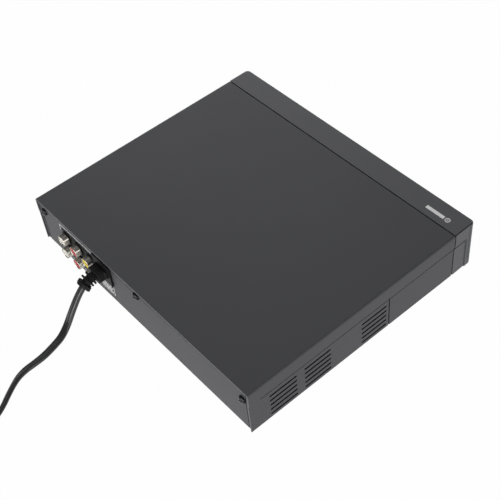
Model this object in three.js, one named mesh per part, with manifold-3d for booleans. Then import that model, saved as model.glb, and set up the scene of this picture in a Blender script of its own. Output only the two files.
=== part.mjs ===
// A compact disc player: folded steel case, moulded front, loader with a sliding tray, boards and mains lead.
// Millimetres. +X is to the right as seen from the front, the front faces -Y, the feet stand on z = 0.
import * as THREE from "three";
import { mergeVertices } from "three/addons/utils/BufferGeometryUtils.js";
import Module from "manifold-3d";

const wasm = await Module();
wasm.setup();

// Driving dimensions of the case
const caseWidth = 225;
const caseDepth = 193.5;
const boxHeight = 38.5;
const footHeight = 4;
const fasciaDepth = 17.8;
const seamGap = 0.9;
const sheet = 0.8;
const touch = 0.3;
const running = 0.6;
const over = 1;
const jackProud = 4;
const buttonProud = 0.5;
const weld = 1e-4;

// Planes that follow from them: the object without its lead is centred on the origin
const yRear = (caseDepth + buttonProud - jackProud) / 2;
const yFront = yRear - caseDepth;
const yFasciaBack = yFront + fasciaDepth;
const ySeam = yFasciaBack + seamGap;
const zPlate = footHeight;
const zFloor = zPlate + sheet;
const zTop = footHeight + boxHeight;
const zCeiling = zTop - sheet;
const sides = { tiny: 8, small: 12, middle: 20, large: 36 };

// Helpers: a geometry becomes a solid, shapes become prisms along an axis, and a solid becomes a mesh.
function solid(geometry) {
  const bare = geometry.index ? geometry.toNonIndexed() : geometry.clone();
  bare.deleteAttribute("normal");
  bare.deleteAttribute("uv");
  const merged = mergeVertices(bare, weld);
  return new wasm.Manifold(
    new wasm.Mesh({
      numProp: 3,
      vertProperties: merged.attributes.position.array,
      triVerts: new Uint32Array(merged.index.array),
    }),
  );
}

const X = new THREE.Vector3(1, 0, 0);
const Y = new THREE.Vector3(0, 1, 0);
const Z = new THREE.Vector3(0, 0, 1);
const bases = {
  x: new THREE.Matrix4().makeBasis(Y, Z, X),
  y: new THREE.Matrix4().makeBasis(X, Z, Y.clone().negate()),
  z: new THREE.Matrix4(),
};

// A shape is drawn in (y, z) for axis x, in (x, z) for axis y, and in (x, y) for axis z.
function prism(axis, shape, [from, to], curveSegments = 4) {
  const geometry = new THREE.ExtrudeGeometry(shape, { depth: to - from, bevelEnabled: false, curveSegments });
  geometry.applyMatrix4(bases[axis]);
  const start = axis === "y" ? to : from;
  geometry.translate(axis === "x" ? start : 0, axis === "y" ? start : 0, axis === "z" ? start : 0);
  return solid(geometry);
}

// Corners are [a, b] or [a, b, radius].
function outline(corners) {
  const shape = new THREE.Shape();
  corners.forEach(([a, b, radius = 0], i) => {
    const corner = new THREE.Vector2(a, b);
    const [before, after] = [corners.at(i - 1), corners[(i + 1) % corners.length]].map(([p, q]) =>
      new THREE.Vector2(p, q).sub(corner).normalize().multiplyScalar(radius).add(corner),
    );
    if (i === 0) shape.moveTo(before.x, before.y);
    else shape.lineTo(before.x, before.y);
    if (radius > 0) shape.quadraticCurveTo(a, b, after.x, after.y);
  });
  shape.closePath();
  return shape;
}

const centred = (middle, width) => [middle - width / 2, middle + width / 2];

function rectangle([a0, a1], [b0, b1], radius = 0) {
  return outline([
    [a0, b0, radius],
    [a1, b0, radius],
    [a1, b1, radius],
    [a0, b1, radius],
  ]);
}

function polygon(count, radius, a = 0, b = 0, turn = 0) {
  const points = Array.from({ length: count }, (_, i) => {
    const angle = turn + (2 * Math.PI * i) / count;
    return new THREE.Vector2(a + radius * Math.cos(angle), b + radius * Math.sin(angle));
  });
  return new THREE.Shape(points);
}

const block = (x, y, z) => prism("z", rectangle(x, y), z);
const pin = (axis, radius, [a, b], span, count = sides.small) =>
  prism(axis, polygon(count, radius, a, b), span);

// A slot with round ends, drawn as a rectangle between two half circles.
function stadium(length, width, a, b) {
  const shape = new THREE.Shape();
  const reach = (length - width) / 2;
  shape.absarc(a + reach, b, width / 2, -Math.PI / 2, Math.PI / 2, false);
  shape.absarc(a - reach, b, width / 2, Math.PI / 2, (3 * Math.PI) / 2, false);
  shape.closePath();
  return shape;
}

const join = (...solids) => solids.flat().reduce((a, b) => a.add(b));
const cut = (from, ...tools) => tools.flat().reduce((a, b) => a.subtract(b), from);
const times = (count, make) => Array.from({ length: count }, (_, i) => make(i));

const finish = (color, roughness, metalness) => ({ color, roughness, metalness });
const paint = finish(0x3a3a3c, 0.6, 0.2);
const abs = finish(0x2e2e30, 0.45, 0);
const steel = finish(0xa9abad, 0.4, 1);
const nickel = finish(0xc9c6be, 0.25, 1);
const blackPlastic = finish(0x161617, 0.5, 0);
const greyPlastic = finish(0x4b4c4f, 0.6, 0);
const circuit = finish(0x2b5a33, 0.6, 0);
const rubber = finish(0x1a1a1a, 0.9, 0);

const player = new THREE.Group();
function add(name, body, look) {
  const made = body.getMesh();
  const geometry = new THREE.BufferGeometry();
  geometry.setAttribute("position", new THREE.BufferAttribute(made.vertProperties, 3));
  geometry.setIndex(new THREE.BufferAttribute(made.triVerts, 1));
  geometry.computeVertexNormals();
  const mesh = new THREE.Mesh(geometry, new THREE.MeshStandardMaterial(look));
  mesh.name = name;
  player.add(mesh);
}

// Rear face: where the panel, its screws and its sockets are
const rear = {
  inset: 1,
  rightScrew: [7.5, 30],
  middleScrew: [-2.3, 31.8],
  leftScrew: [6.5, 28.2],
  screwHole: 1.8,
};
const screwPlaces = [
  [caseWidth / 2 - rear.rightScrew[0], footHeight + rear.rightScrew[1]],
  [rear.middleScrew[0], footHeight + rear.middleScrew[1]],
  [rear.leftScrew[0] - caseWidth / 2, footHeight + rear.leftScrew[1]],
];
const panelSpan = [yRear - rear.inset - sheet, yRear - rear.inset];

// Top cover: one folded sheet with a step, three groups of slots and a joint line on each side.
const cover = {
  bend: 1.6,
  upperBand: 11.4,
  stepIn: 0.6,
  slotHeight: 1.5,
  slotPitch: 4.5,
  slotLength: 21.5,
  lowestSlot: 3.3,
  groupStarts: [16, 44, 92],
  slotRows: 5,
  jointStart: 116,
  jointWidth: 0.7,
  jointDepth: 0.35,
  tabWidth: 11,
  tabDrop: 14,
};
const xSide = caseWidth / 2 - cover.stepIn;
const zStep = zTop - cover.upperBand;
const xInside = xSide - sheet - touch;

function coverHalf(inset) {
  const top = zTop - inset;
  const bend = cover.bend - inset;
  return [
    [xSide - inset, zPlate],
    [xSide - inset, zStep - inset],
    [caseWidth / 2 - inset, zStep + cover.stepIn - inset],
    [caseWidth / 2 - inset, top, bend],
  ];
}

function topCover() {
  const mirrored = (points) => points.map(([x, ...rest]) => [-x, ...rest]).reverse();
  const outer = coverHalf(0);
  const inner = coverHalf(sheet);
  const shell = prism(
    "y",
    outline([...outer, ...mirrored(outer), ...mirrored(inner).reverse(), ...inner.slice().reverse()]),
    [ySeam, yRear],
  );
  const slots = cover.groupStarts.flatMap((start) =>
    times(cover.slotRows, (row) => {
      const z = zPlate + cover.lowestSlot + row * cover.slotPitch;
      const y = [yRear - start - cover.slotLength, yRear - start];
      return [-1, 1].map((side) =>
        block(centred(side * xSide, 2 * (sheet + over)), y, centred(z, cover.slotHeight)),
      );
    }),
  );
  const joints = [-1, 1].map((side) =>
    block(
      centred(side * xSide, 2 * cover.jointDepth),
      centred(yRear - cover.jointStart, cover.jointWidth),
      [zPlate - over, zStep],
    ),
  );
  const tabBack = panelSpan[0] - touch;
  const tabs = screwPlaces.map(([x]) => {
    const middle = Math.sign(x) * Math.min(Math.abs(x), xInside - cover.tabWidth / 2);
    return block(
      centred(middle, cover.tabWidth),
      [tabBack - sheet, tabBack],
      [zCeiling - cover.tabDrop, zCeiling + sheet / 2],
    );
  });
  const holes = screwPlaces.map((at) =>
    pin("y", rear.screwHole, at, [tabBack - sheet - over, yRear], sides.tiny),
  );
  return cut(join(shell, tabs), slots.flat(), joints, holes);
}
add("top_cover", topCover(), paint);

// Plan of the inside: the loader stands by the left wall, the boards and the controls have the rest
const tray = {
  width: 130,
  discReach: 68.5,
  frontGap: 0.3,
  rearReach: 92,
  underside: 26,
  floorThick: 1.6,
  rimHeight: 2.2,
  flange: 2.5,
  discRadius: 60.5,
  smallDiscRadius: 40.5,
  smallDiscDepth: 0.6,
  slotRadius: 22,
  doorThick: 3,
  doorLow: 20.6,
  doorHigh: 35.4,
  doorGap: 0.6,
};
const frame = {
  leftGap: 3.8,
  wall: 2.5,
  sideGap: 0.5,
  low: 8,
  floorThick: 2,
  wallTop: 32,
  frontGap: 0.5,
  backGap: 1.5,
  ledge: 4,
  ledgeThick: 1.5,
  tab: 2.2,
  tabThick: 1.5,
  tabLength: 8,
  tabReaches: [-30, 30, 80],
  leg: 8,
  earThick: 3,
  earLength: 6,
  earHigh: 22,
  earBore: 0.3,
};
const trayLeft = frame.leftGap + frame.wall + frame.sideGap - xInside;
const trayX = [trayLeft, trayLeft + tray.width];
const discX = (trayX[0] + trayX[1]) / 2;
const discY = yFront + tray.discReach;
const frameInner = [trayX[0] - frame.sideGap, trayX[1] + frame.sideGap];
const frameX = [frameInner[0] - frame.wall, frameInner[1] + frame.wall];
const boardSize = { thick: 1.6, loaderGap: 4, sideGap: 1.8, frontGap: 8, between: 6, mainLength: 71.5 };
const board = {
  thick: boardSize.thick,
  left: frameX[1] + boardSize.loaderGap,
  right: xInside - boardSize.sideGap,
};

// Base chassis: folded plate with low flanges, board standoffs, slots and the holes for the feet.
const chassis = { flange: 2.4, standoff: 1.3, standoffRadius: 3, slot: [34, 3], slotPitch: 7, slotCount: 5 };
const zBoard = zFloor + chassis.standoff + touch;
const zOnBoard = zBoard + board.thick + touch;
const foot = {
  radius: 8,
  peg: 3,
  pegHole: 3.3,
  pegHeight: 1.2,
  sideInset: 20.5,
  rearInset: 20,
  frontInset: 36,
};
const footX = caseWidth / 2 - foot.sideInset;
const chassisY = [yFasciaBack + touch, panelSpan[0] - touch];
const mainBoardEnd = chassisY[1] - sheet - running;
const mainBoardY = [mainBoardEnd - boardSize.mainLength, mainBoardEnd];
const powerBoardY = [ySeam + boardSize.frontGap, mainBoardY[0] - boardSize.between];
const footPlaces = [
  ["rear_right", footX, yRear - foot.rearInset],
  ["rear_left", -footX, yRear - foot.rearInset],
  ["front_right", footX, yFront + foot.frontInset],
  ["front_left", -footX, yFront + foot.frontInset],
];

function baseChassis() {
  const plate = block([-xInside, xInside], chassisY, [zPlate, zFloor]);
  const up = [zPlate, zFloor + chassis.flange];
  const flanges = [
    block([-xInside, -xInside + sheet], chassisY, up),
    block([xInside - sheet, xInside], chassisY, up),
    block([-xInside, xInside], [chassisY[0], chassisY[0] + sheet], up),
    block([-xInside, xInside], [chassisY[1] - sheet, chassisY[1]], up),
  ];
  const inset = 2 * chassis.standoffRadius;
  const standoffs = [mainBoardY, powerBoardY].flatMap((span) =>
    [board.left + inset, board.right - inset].flatMap((x) =>
      [span[0] + inset, span[1] - inset].map((y) =>
        pin("z", chassis.standoffRadius, [x, y], [zPlate, zFloor + chassis.standoff], sides.tiny),
      ),
    ),
  );
  const pegHoles = footPlaces.map(([, x, y]) =>
    pin("z", foot.pegHole, [x, y], [zPlate - over, zFloor + over]),
  );
  const [length, width] = chassis.slot;
  const middle = (board.left + board.right) / 2;
  const slots = [middle, -middle].flatMap((x) =>
    times(chassis.slotCount, (i) => {
      const y = (powerBoardY[0] + powerBoardY[1]) / 2 + (i - (chassis.slotCount - 1) / 2) * chassis.slotPitch;
      return block(centred(x, length), centred(y, width), [zPlate - over, zFloor + over]);
    }),
  );
  return cut(join(plate, flanges, standoffs), pegHoles, slots);
}
add("base_chassis", baseChassis(), steel);

for (const [name, x, y] of footPlaces) {
  const pad = pin("z", foot.radius, [x, y], [0, zPlate - touch], sides.middle);
  const peg = pin("z", foot.peg, [x, y], [zPlate - touch - over, zFloor + foot.pegHeight]);
  add("foot_" + name, join(pad, peg), rubber);
}

// Phono socket block: two rows of three sleeves in a black housing, an insulator in each.
const phono = {
  inset: 47.4,
  columnPitch: 14.2,
  rows: [11, 23.2],
  width: 38.2,
  height: 24.6,
  face: 0.3,
  depth: 14,
  collarRadius: 5.2,
  collarProud: 0.8,
  sleeveRadius: 4.15,
  sleeveWall: 0.55,
  insulatorRecess: 0.5,
  pinHole: 1.6,
  pinHoleDepth: 9,
  shieldThick: 0.5,
  shieldMargin: 1.5,
};
const phonoFace = panelSpan[1] + phono.face;
const phonoBack = phonoFace - phono.depth;
const shieldSpan = [phonoBack - touch - phono.shieldThick, phonoBack - touch];
const sleeveTip = yRear + jackProud;
const phonoMiddle = caseWidth / 2 - phono.inset;
const phonoX = centred(phonoMiddle, phono.width);
const phonoZ = [zOnBoard, zOnBoard + phono.height];
const jacks = ["lower", "upper"].flatMap((row, r) =>
  ["white", "red", "yellow"].map((color, c) => ({
    name: color + "_" + row,
    color: { white: 0xe8e6e0, red: 0xb5121b, yellow: 0xe6c81e }[color],
    at: [phonoMiddle + (1 - c) * phono.columnPitch, phono.rows[r] + footHeight],
  })),
);
const alongY = (radius, at, span, count) => pin("y", radius, at, span, count);

function phonoBlock() {
  const housing = block(phonoX, [phonoBack, phonoFace], phonoZ);
  const collars = jacks.map(({ at }) =>
    alongY(phono.collarRadius, at, [phonoFace, phonoFace + phono.collarProud], sides.middle),
  );
  const bores = jacks.map(({ at }) =>
    alongY(phono.sleeveRadius + touch, at, [phonoBack - over, yRear + over], sides.middle),
  );
  return cut(join(housing, collars), bores);
}
add("phono_block", phonoBlock(), blackPlastic);

function phonoSleeves() {
  const margin = phono.shieldMargin;
  const plate = block(
    [phonoX[0] + margin, phonoX[1] - margin],
    shieldSpan,
    [phonoZ[0] + margin, phonoZ[1] - margin],
  );
  const tubes = jacks.map(({ at }) =>
    alongY(phono.sleeveRadius, at, [shieldSpan[0], sleeveTip], sides.middle),
  );
  const bores = jacks.map(({ at }) =>
    alongY(phono.sleeveRadius - phono.sleeveWall, at, [shieldSpan[1], sleeveTip + over], sides.middle),
  );
  return cut(join(plate, tubes), bores);
}
add("phono_sleeves", phonoSleeves(), nickel);

for (const { name, color, at } of jacks) {
  const tip = sleeveTip - phono.insulatorRecess;
  const core = alongY(
    phono.sleeveRadius - phono.sleeveWall - touch,
    at,
    [shieldSpan[1] + touch, tip],
    sides.small,
  );
  const hole = alongY(phono.pinHole, at, [tip - phono.pinHoleDepth, tip + over], sides.tiny);
  add("phono_insulator_" + name, cut(core, hole), finish(color, 0.4, 0));
}

// Mains inlet: flanged housing with a two-pin recess.
const inlet = {
  inset: 77,
  z: 26.5,
  flangeWidth: 19,
  flangeHeight: 19,
  flangeThick: 1.2,
  bodyWidth: 17.6,
  bodyHeight: 11,
  bodyDepth: 15,
  recessWidth: 16,
  recessHeight: 8.6,
  recessDepth: 12,
  pinPitch: 8.6,
  pinRadius: 1.15,
  pinLength: 9,
};
const inletX = caseWidth / 2 - inlet.inset;
const inletZ = inlet.z + footHeight;
const inletFace = panelSpan[1] + touch + inlet.flangeThick;
const recessFloor = inletFace - inlet.recessDepth;

function mainsInlet() {
  const flange = block(
    centred(inletX, inlet.flangeWidth),
    [inletFace - inlet.flangeThick, inletFace],
    centred(inletZ, inlet.flangeHeight),
  );
  const body = block(
    centred(inletX, inlet.bodyWidth),
    [inletFace - inlet.bodyDepth, inletFace],
    centred(inletZ, inlet.bodyHeight),
  );
  const recess = prism(
    "y",
    stadium(inlet.recessWidth, inlet.recessHeight, inletX, inletZ),
    [recessFloor, inletFace + over],
  );
  const pins = [-1, 1].map((side) =>
    alongY(
      inlet.pinRadius,
      [inletX + (side * inlet.pinPitch) / 2, inletZ],
      [recessFloor - over, recessFloor + inlet.pinLength],
      sides.tiny,
    ),
  );
  return join(cut(join(flange, body), recess), pins);
}
add("mains_inlet", mainsInlet(), blackPlastic);

// Rear panel: painted sheet set inside the cover, with the cut-outs.
function rearPanel() {
  const plate = block([-xInside, xInside], panelSpan, [zPlate, zCeiling - touch]);
  const through = [panelSpan[0] - over, panelSpan[1] + over];
  const grow = ([low, high], gap) => [low - gap, high + gap];
  return cut(
    plate,
    block(grow(phonoX, touch), through, grow(phonoZ, touch)),
    block(
      grow(centred(inletX, inlet.bodyWidth), touch / 2),
      through,
      grow(centred(inletZ, inlet.bodyHeight), touch),
    ),
    screwPlaces.map((at) => alongY(rear.screwHole, at, through, sides.tiny)),
  );
}
add("rear_panel", rearPanel(), paint);

const screw = {
  headRadius: 3,
  headHeight: 1.7,
  shankRadius: 1.4,
  shankLength: 6,
  crossWidth: 0.9,
  crossDepth: 0.8,
};
screwPlaces.forEach((at, i) => {
  const seat = panelSpan[1] + touch;
  const top = seat + screw.headHeight;
  const head = alongY(screw.headRadius, at, [seat, top], sides.small);
  const shank = alongY(screw.shankRadius, at, [seat - screw.shankLength, seat + over], sides.tiny);
  const arm = 2 * screw.headRadius - screw.crossWidth;
  const bars = [
    [arm / 2, screw.crossWidth],
    [screw.crossWidth, arm / 2],
  ].map(([w, h]) => block(centred(at[0], w), [top - screw.crossDepth, top + over], centred(at[1], h)));
  add(["rear_screw_right", "rear_screw_middle", "rear_screw_left"][i], cut(join(head, shank), bars), steel);
});

// Loader: the tray's levels
const trayBack = discY + tray.rearReach;
const doorBack = yFront + tray.doorThick;
const trayY = [doorBack + tray.frontGap, trayBack];
const trayFloor = tray.underside + tray.floorThick;
const trayRim = trayFloor + tray.rimHeight;

// Rack and pinion share one module. A tooth has straight flanks and play on both sides.
const tooth = {
  module: 1,
  tipShare: 0.8,
  rootShare: 1.3,
  halfTipShare: 0.36,
  halfMiddleShare: 0.65,
  halfRootShare: 1.0,
};
const pitch = Math.PI * tooth.module;
const gear = {
  teeth: 20,
  reach: 30.5,
  pinionHeight: 4,
  drumRadius: 8.4,
  drumHeight: 2.2,
  lip: 0.6,
  lipRadius: 9.6,
  hubRadius: 3.5,
  postRadius: 1.5,
};
const gearRadius = (gear.teeth * tooth.module) / 2;
const rack = { inset: 9, width: 2.4, depth: 4, frontReach: 8 };
const rackX = trayX[1] - rack.inset;
const gearAt = [rackX - gearRadius, yFront + gear.reach];

function rackBar() {
  const root = rackX + tooth.rootShare * tooth.module;
  const points = [];
  const [, middle] = gearAt;
  const front = middle - rack.frontReach;
  const first = Math.ceil(-rack.frontReach / pitch) + 1;
  const last = Math.floor((trayBack - middle) / pitch) - 1;
  for (let i = first; i <= last; i++) {
    const y = middle + i * pitch;
    const tip = rackX - tooth.tipShare * tooth.module;
    points.push([root, y - tooth.halfRootShare * tooth.module]);
    points.push([tip, y - tooth.halfTipShare * tooth.module]);
    points.push([tip, y + tooth.halfTipShare * tooth.module]);
    points.push([root, y + tooth.halfRootShare * tooth.module]);
  }
  const back = root + rack.width;
  points.push([root, trayBack], [back, trayBack], [back, front], [root, front]);
  return prism("z", outline(points), [tray.underside - rack.depth, tray.underside + tray.floorThick / 2]);
}

function discTray() {
  const plate = block(trayX, trayY, [tray.underside, trayFloor]);
  const rimY = [trayY[0], discY + tray.discRadius + 2 * tray.flange];
  const rim = block(
    [trayX[0] + tray.flange, trayX[1] - tray.flange],
    rimY,
    [trayFloor - over, trayRim],
  );
  const at = [discX, discY];
  const disc = pin("z", tray.discRadius, at, [trayFloor, trayRim + over], 2 * sides.large);
  const small = pin("z", tray.smallDiscRadius, at, [trayFloor - tray.smallDiscDepth, trayRim], sides.large);
  const low = tray.underside - rack.depth - over;
  const slot = join(
    pin("z", tray.slotRadius, at, [low, trayRim + over], sides.large),
    block(centred(discX, 2 * tray.slotRadius), [discY, trayBack + over], [low, trayRim + over]),
  );
  return join(cut(join(plate, rim), disc, small, slot), rackBar());
}
add("disc_tray", discTray(), blackPlastic);

add(
  "tray_front",
  block(trayX, [yFront, doorBack], [tray.doorLow, tray.doorHigh]),
  abs,
);

// Traverse deck: its level plane when the turntable is up
const deck = {
  halfWidth: 40,
  front: -17,
  back: 80,
  plateTop: 21.9,
  thick: 1.6,
  hingeReach: 82,
  hingeZ: 19,
  hingePin: 1.5,
  armWidth: 4,
  armHeight: 4.9,
  windowHalf: 28.5,
  windowFront: 12,
  windowBack: 75,
  hubHole: 6,
  pinRadius: 1.3,
  pinZ: 20,
  pinXs: [19, -7],
  pinReach: 4.2,
  lipHeight: 3.9,
};
const deckX = centred(discX, 2 * deck.halfWidth);
const deckY = [discY + deck.front, discY + deck.back];
const deckZ = [deck.plateTop - deck.thick, deck.plateTop];
const hingeY = discY + deck.hingeReach;
const frameClear = { side: 2, front: 1.3, back: 6 };

// Guide rods, lead screw and the motor that turns it
const guide = {
  rodInset: 16,
  rodRadius: 1.5,
  z: 15,
  front: 7,
  back: 78.6,
  lugWidth: 7,
  lugLength: 3.8,
  lugLow: 12.3,
  bore: 0.15,
  screwInset: 6,
  screwRadius: 2,
  motorRadius: 4,
  motorLength: 16,
};
const rodOffset = deck.halfWidth - guide.rodInset;
const screwOffset = deck.halfWidth - guide.screwInset;
const screwX = discX + screwOffset;
const guideY = [discY + guide.front, discY + guide.back];
const lugFrontY = [guideY[0] - over / 2, guideY[0] + guide.lugLength];
const lugBackY = [guideY[1] - guide.lugLength, guideY[1] + over / 2];

function traverseDeck() {
  const plate = block(deckX, deckY, deckZ);
  const window = block(
    centred(discX, 2 * deck.windowHalf),
    [discY + deck.windowFront, discY + deck.windowBack],
    [deckZ[0] - over, deckZ[1] + over],
  );
  const hub = pin("z", deck.hubHole, [discX, discY], [deckZ[0] - over, deckZ[1] + over], sides.middle);
  const lip = block(
    centred(discX + (deck.pinXs[0] + deck.pinXs[1]) / 2, deck.halfWidth),
    [deckY[0], deckY[0] + deck.thick],
    [deck.plateTop - deck.lipHeight, deck.plateTop],
  );
  const pinY = [deckY[0] - deck.pinReach, deckY[0] + deck.thick];
  const camPins = deck.pinXs.map((dx) => alongY(deck.pinRadius, [discX + dx, deck.pinZ], pinY, sides.tiny));
  const armY = [deckY[1] - 2 * deck.armWidth, hingeY + deck.armWidth / 2];
  const arms = [-1, 1].map((side) => {
    const outer = discX + side * deck.halfWidth;
    const inner = outer - side * deck.armWidth;
    const armX = [Math.min(outer, inner), Math.max(outer, inner)];
    const tip = outer + side * (frameClear.side + deck.armWidth);
    const pinX = [Math.min(inner, tip), Math.max(inner, tip)];
    return join(
      block(armX, armY, [deckZ[1] - deck.armHeight, deckZ[1]]),
      pin("x", deck.hingePin, [hingeY, deck.hingeZ], pinX, sides.small),
    );
  });
  const lugs = [-rodOffset, rodOffset, screwOffset].flatMap((dx) =>
    [lugFrontY, lugBackY].map((span) =>
      block(centred(discX + dx, guide.lugWidth), span, [guide.lugLow, deckZ[0] + deck.thick / 2]),
    ),
  );
  const boreY = [lugFrontY[0] - over, lugBackY[1] + over];
  const bores = [
    [-rodOffset, guide.rodRadius],
    [rodOffset, guide.rodRadius],
    [screwOffset, guide.screwRadius],
  ].map(([dx, radius]) => alongY(radius + guide.bore, [discX + dx, guide.z], boreY, sides.small));
  return cut(join(cut(plate, window, hub), lip, camPins, arms, lugs), bores);
}
add("traverse_deck", traverseDeck(), greyPlastic);

for (const [name, side] of [
  ["left", -1],
  ["right", 1],
]) {
  const at = [discX + side * rodOffset, guide.z];
  add("guide_rod_" + name, alongY(guide.rodRadius, at, guideY, sides.small), steel);
}
add("lead_screw", alongY(guide.screwRadius, [screwX, guide.z], guideY, sides.small), steel);

const sledMotorY = [lugFrontY[0] - touch - guide.motorLength, lugFrontY[0] - touch];
add("sled_motor", alongY(guide.motorRadius, [screwX, guide.z], sledMotorY, sides.middle), nickel);

// Spindle motor under the deck, turntable above it
const spindle = {
  motorRadius: 11,
  motorHeight: 6,
  shaftRadius: 0.8,
  hubRadius: 5,
  tableRadius: 15,
  tableThick: 1.6,
  tableTop: 28.7,
  coneRadius: 7.3,
  coneHeight: 1.6,
  shaftTop: 27,
};
const discAt = [discX, discY];
const motorTop = deckZ[0] - touch;
add(
  "spindle_motor",
  join(
    pin("z", spindle.motorRadius, discAt, [motorTop - spindle.motorHeight, motorTop], sides.middle),
    pin("z", spindle.shaftRadius, discAt, [motorTop - over, spindle.shaftTop], sides.tiny),
  ),
  nickel,
);
function turntable() {
  const tableZ = [spindle.tableTop - spindle.tableThick, spindle.tableTop];
  const coneZ = [spindle.tableTop - over, spindle.tableTop + spindle.coneHeight];
  const body = join(
    pin("z", spindle.hubRadius, discAt, [deckZ[1] + touch, spindle.tableTop], sides.middle),
    pin("z", spindle.tableRadius, discAt, tableZ, sides.large),
    pin("z", spindle.coneRadius, discAt, coneZ, sides.middle),
  );
  const shaftHole = [deckZ[1], spindle.shaftTop + touch];
  return cut(body, pin("z", spindle.shaftRadius + touch, discAt, shaftHole, sides.small));
}
add("turntable", turntable(), greyPlastic);

// Pickup sled: rides on the rods, its nut arm is on the lead screw
const sled = {
  halfWidth: 27,
  frontReach: 13,
  length: 26,
  low: 11.5,
  high: 19.5,
  topHalf: 14,
  topHigh: 24.5,
  topInset: 2,
  lensReach: 24,
  lensRadius: 3.5,
  lensHeight: 1.4,
  armLength: 11,
  armLow: 12.3,
  armHigh: 18,
  travel: 34,
};
const sledY = [discY + sled.frontReach, discY + sled.frontReach + sled.length];
function pickupSled() {
  const base = block(centred(discX, 2 * sled.halfWidth), sledY, [sled.low, sled.high]);
  const top = block(
    centred(discX, 2 * sled.topHalf),
    [sledY[0] + sled.topInset, sledY[1] - sled.topInset],
    [sled.high - over, sled.topHigh],
  );
  const arm = block(
    [discX + sled.halfWidth - over, screwX + guide.screwRadius + over],
    centred((sledY[0] + sledY[1]) / 2, sled.armLength),
    [sled.armLow, sled.armHigh],
  );
  const bores = [-rodOffset, rodOffset].map((dx) =>
    alongY(guide.rodRadius + touch, [discX + dx, guide.z], [sledY[0] - over, sledY[1] + over], sides.small),
  );
  const nutY = [sledY[0] - over, sledY[1] + over];
  const nut = alongY(guide.screwRadius + touch, [screwX, guide.z], nutY, sides.small);
  return cut(join(base, top, arm), bores, nut);
}
add("pickup_sled", pickupSled(), nickel);
const lensAt = [discX, discY + sled.lensReach];
const lensLow = sled.topHigh + touch;
add(
  "pickup_lens",
  pin("z", sled.lensRadius, lensAt, [lensLow, lensLow + sled.lensHeight], sides.small),
  finish(0x7fa4c8, 0.1, 0),
);

// Lifting cam: a plate with two sloping slots in front of the deck
const cam = { gap: 1.6, thick: 2, low: 10.3, high: 23.5, travel: 22, drop: 6.1, slotPlay: 0.4, margin: 2.5 };
const camY = [deckY[0] - cam.gap - cam.thick, deckY[0] - cam.gap];
const slotHalf = deck.pinRadius + cam.slotPlay;
function liftingCam() {
  const [right, left] = deck.pinXs.map((dx) => discX + dx);
  const plate = block(
    [left - cam.travel - slotHalf - cam.margin, right + slotHalf + cam.margin],
    camY,
    [cam.low, cam.high],
  );
  const slots = [right, left].map((x) => {
    const run = new THREE.Vector2(cam.travel, cam.drop).normalize();
    const side = new THREE.Vector2(-run.y, run.x).multiplyScalar(slotHalf);
    const high = new THREE.Vector2(x, deck.pinZ).addScaledVector(run, slotHalf);
    const low = new THREE.Vector2(x - cam.travel, deck.pinZ - cam.drop).addScaledVector(run, -slotHalf);
    const corners = [
      high.clone().add(side),
      low.clone().add(side),
      low.clone().sub(side),
      high.clone().sub(side),
    ];
    return prism("y", new THREE.Shape(corners), [camY[0] - over, camY[1] + over]);
  });
  return cut(plate, slots);
}
add("lifting_cam", liftingCam(), greyPlastic);

// Loader frame: side walls with ledges for the tray, a floor with the deck's well, legs, ears and a gear post
const frameY = [ySeam + frame.frontGap, trayBack + frame.backGap + frame.wall];
const frameFloor = frame.low + frame.floorThick;

function loaderFrame() {
  const walls = [
    block([frameX[0], frameInner[0]], frameY, [frame.low, frame.wallTop]),
    block([frameInner[1], frameX[1]], frameY, [frame.low, frame.wallTop]),
    block(frameX, [frameY[1] - frame.wall, frameY[1]], [frame.low, frame.wallTop]),
  ];
  const floor = block(frameX, frameY, [frame.low, frameFloor]);
  const well = block(
    [deckX[0] - frameClear.side, deckX[1] + frameClear.side],
    [deckY[0] - frameClear.front, deckY[1] + frameClear.back],
    [frame.low - over, frameFloor + over],
  );
  const ledgeTop = tray.underside - touch;
  const ledges = [
    [frameInner[0] - over, frameInner[0] + frame.ledge],
    [frameInner[1] - frame.ledge, frameInner[1] + over],
  ].map((x) => block(x, frameY, [ledgeTop - frame.ledgeThick, ledgeTop]));
  const tabLow = trayFloor + touch;
  const tabs = frame.tabReaches.flatMap((reach) =>
    [
      [frameInner[0] - over, frameInner[0] + frame.tab],
      [frameInner[1] - frame.tab, frameInner[1] + over],
    ].map((x) =>
      block(x, centred(discY + reach, frame.tabLength), [tabLow, tabLow + frame.tabThick]),
    ),
  );
  const legs = [frameX[0], frameX[1] - frame.leg].flatMap((x) =>
    [frameY[0], frameY[1] - frame.leg].map((y) =>
      block([x, x + frame.leg], [y, y + frame.leg], [zFloor + touch, frame.low + over]),
    ),
  );
  const ears = [-1, 1].map((side) => {
    const inner = discX + side * (deck.halfWidth + frameClear.side);
    const outer = inner + side * frame.earThick;
    return block(
      [Math.min(inner, outer), Math.max(inner, outer)],
      centred(hingeY, frame.earLength),
      [frame.low, frame.earHigh],
    );
  });
  const earBores = pin(
    "x",
    deck.hingePin + frame.earBore,
    [hingeY, deck.hingeZ],
    [deckX[0] - 2 * deck.armWidth, deckX[1] + 2 * deck.armWidth],
    sides.small,
  );
  const post = pin("z", gear.postRadius, gearAt, [frame.low, tray.underside - running], sides.small);
  return join(cut(join(walls, cut(floor, well), ledges, tabs, legs, ears), earBores), post);
}
add("loader_frame", loaderFrame(), greyPlastic);

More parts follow.
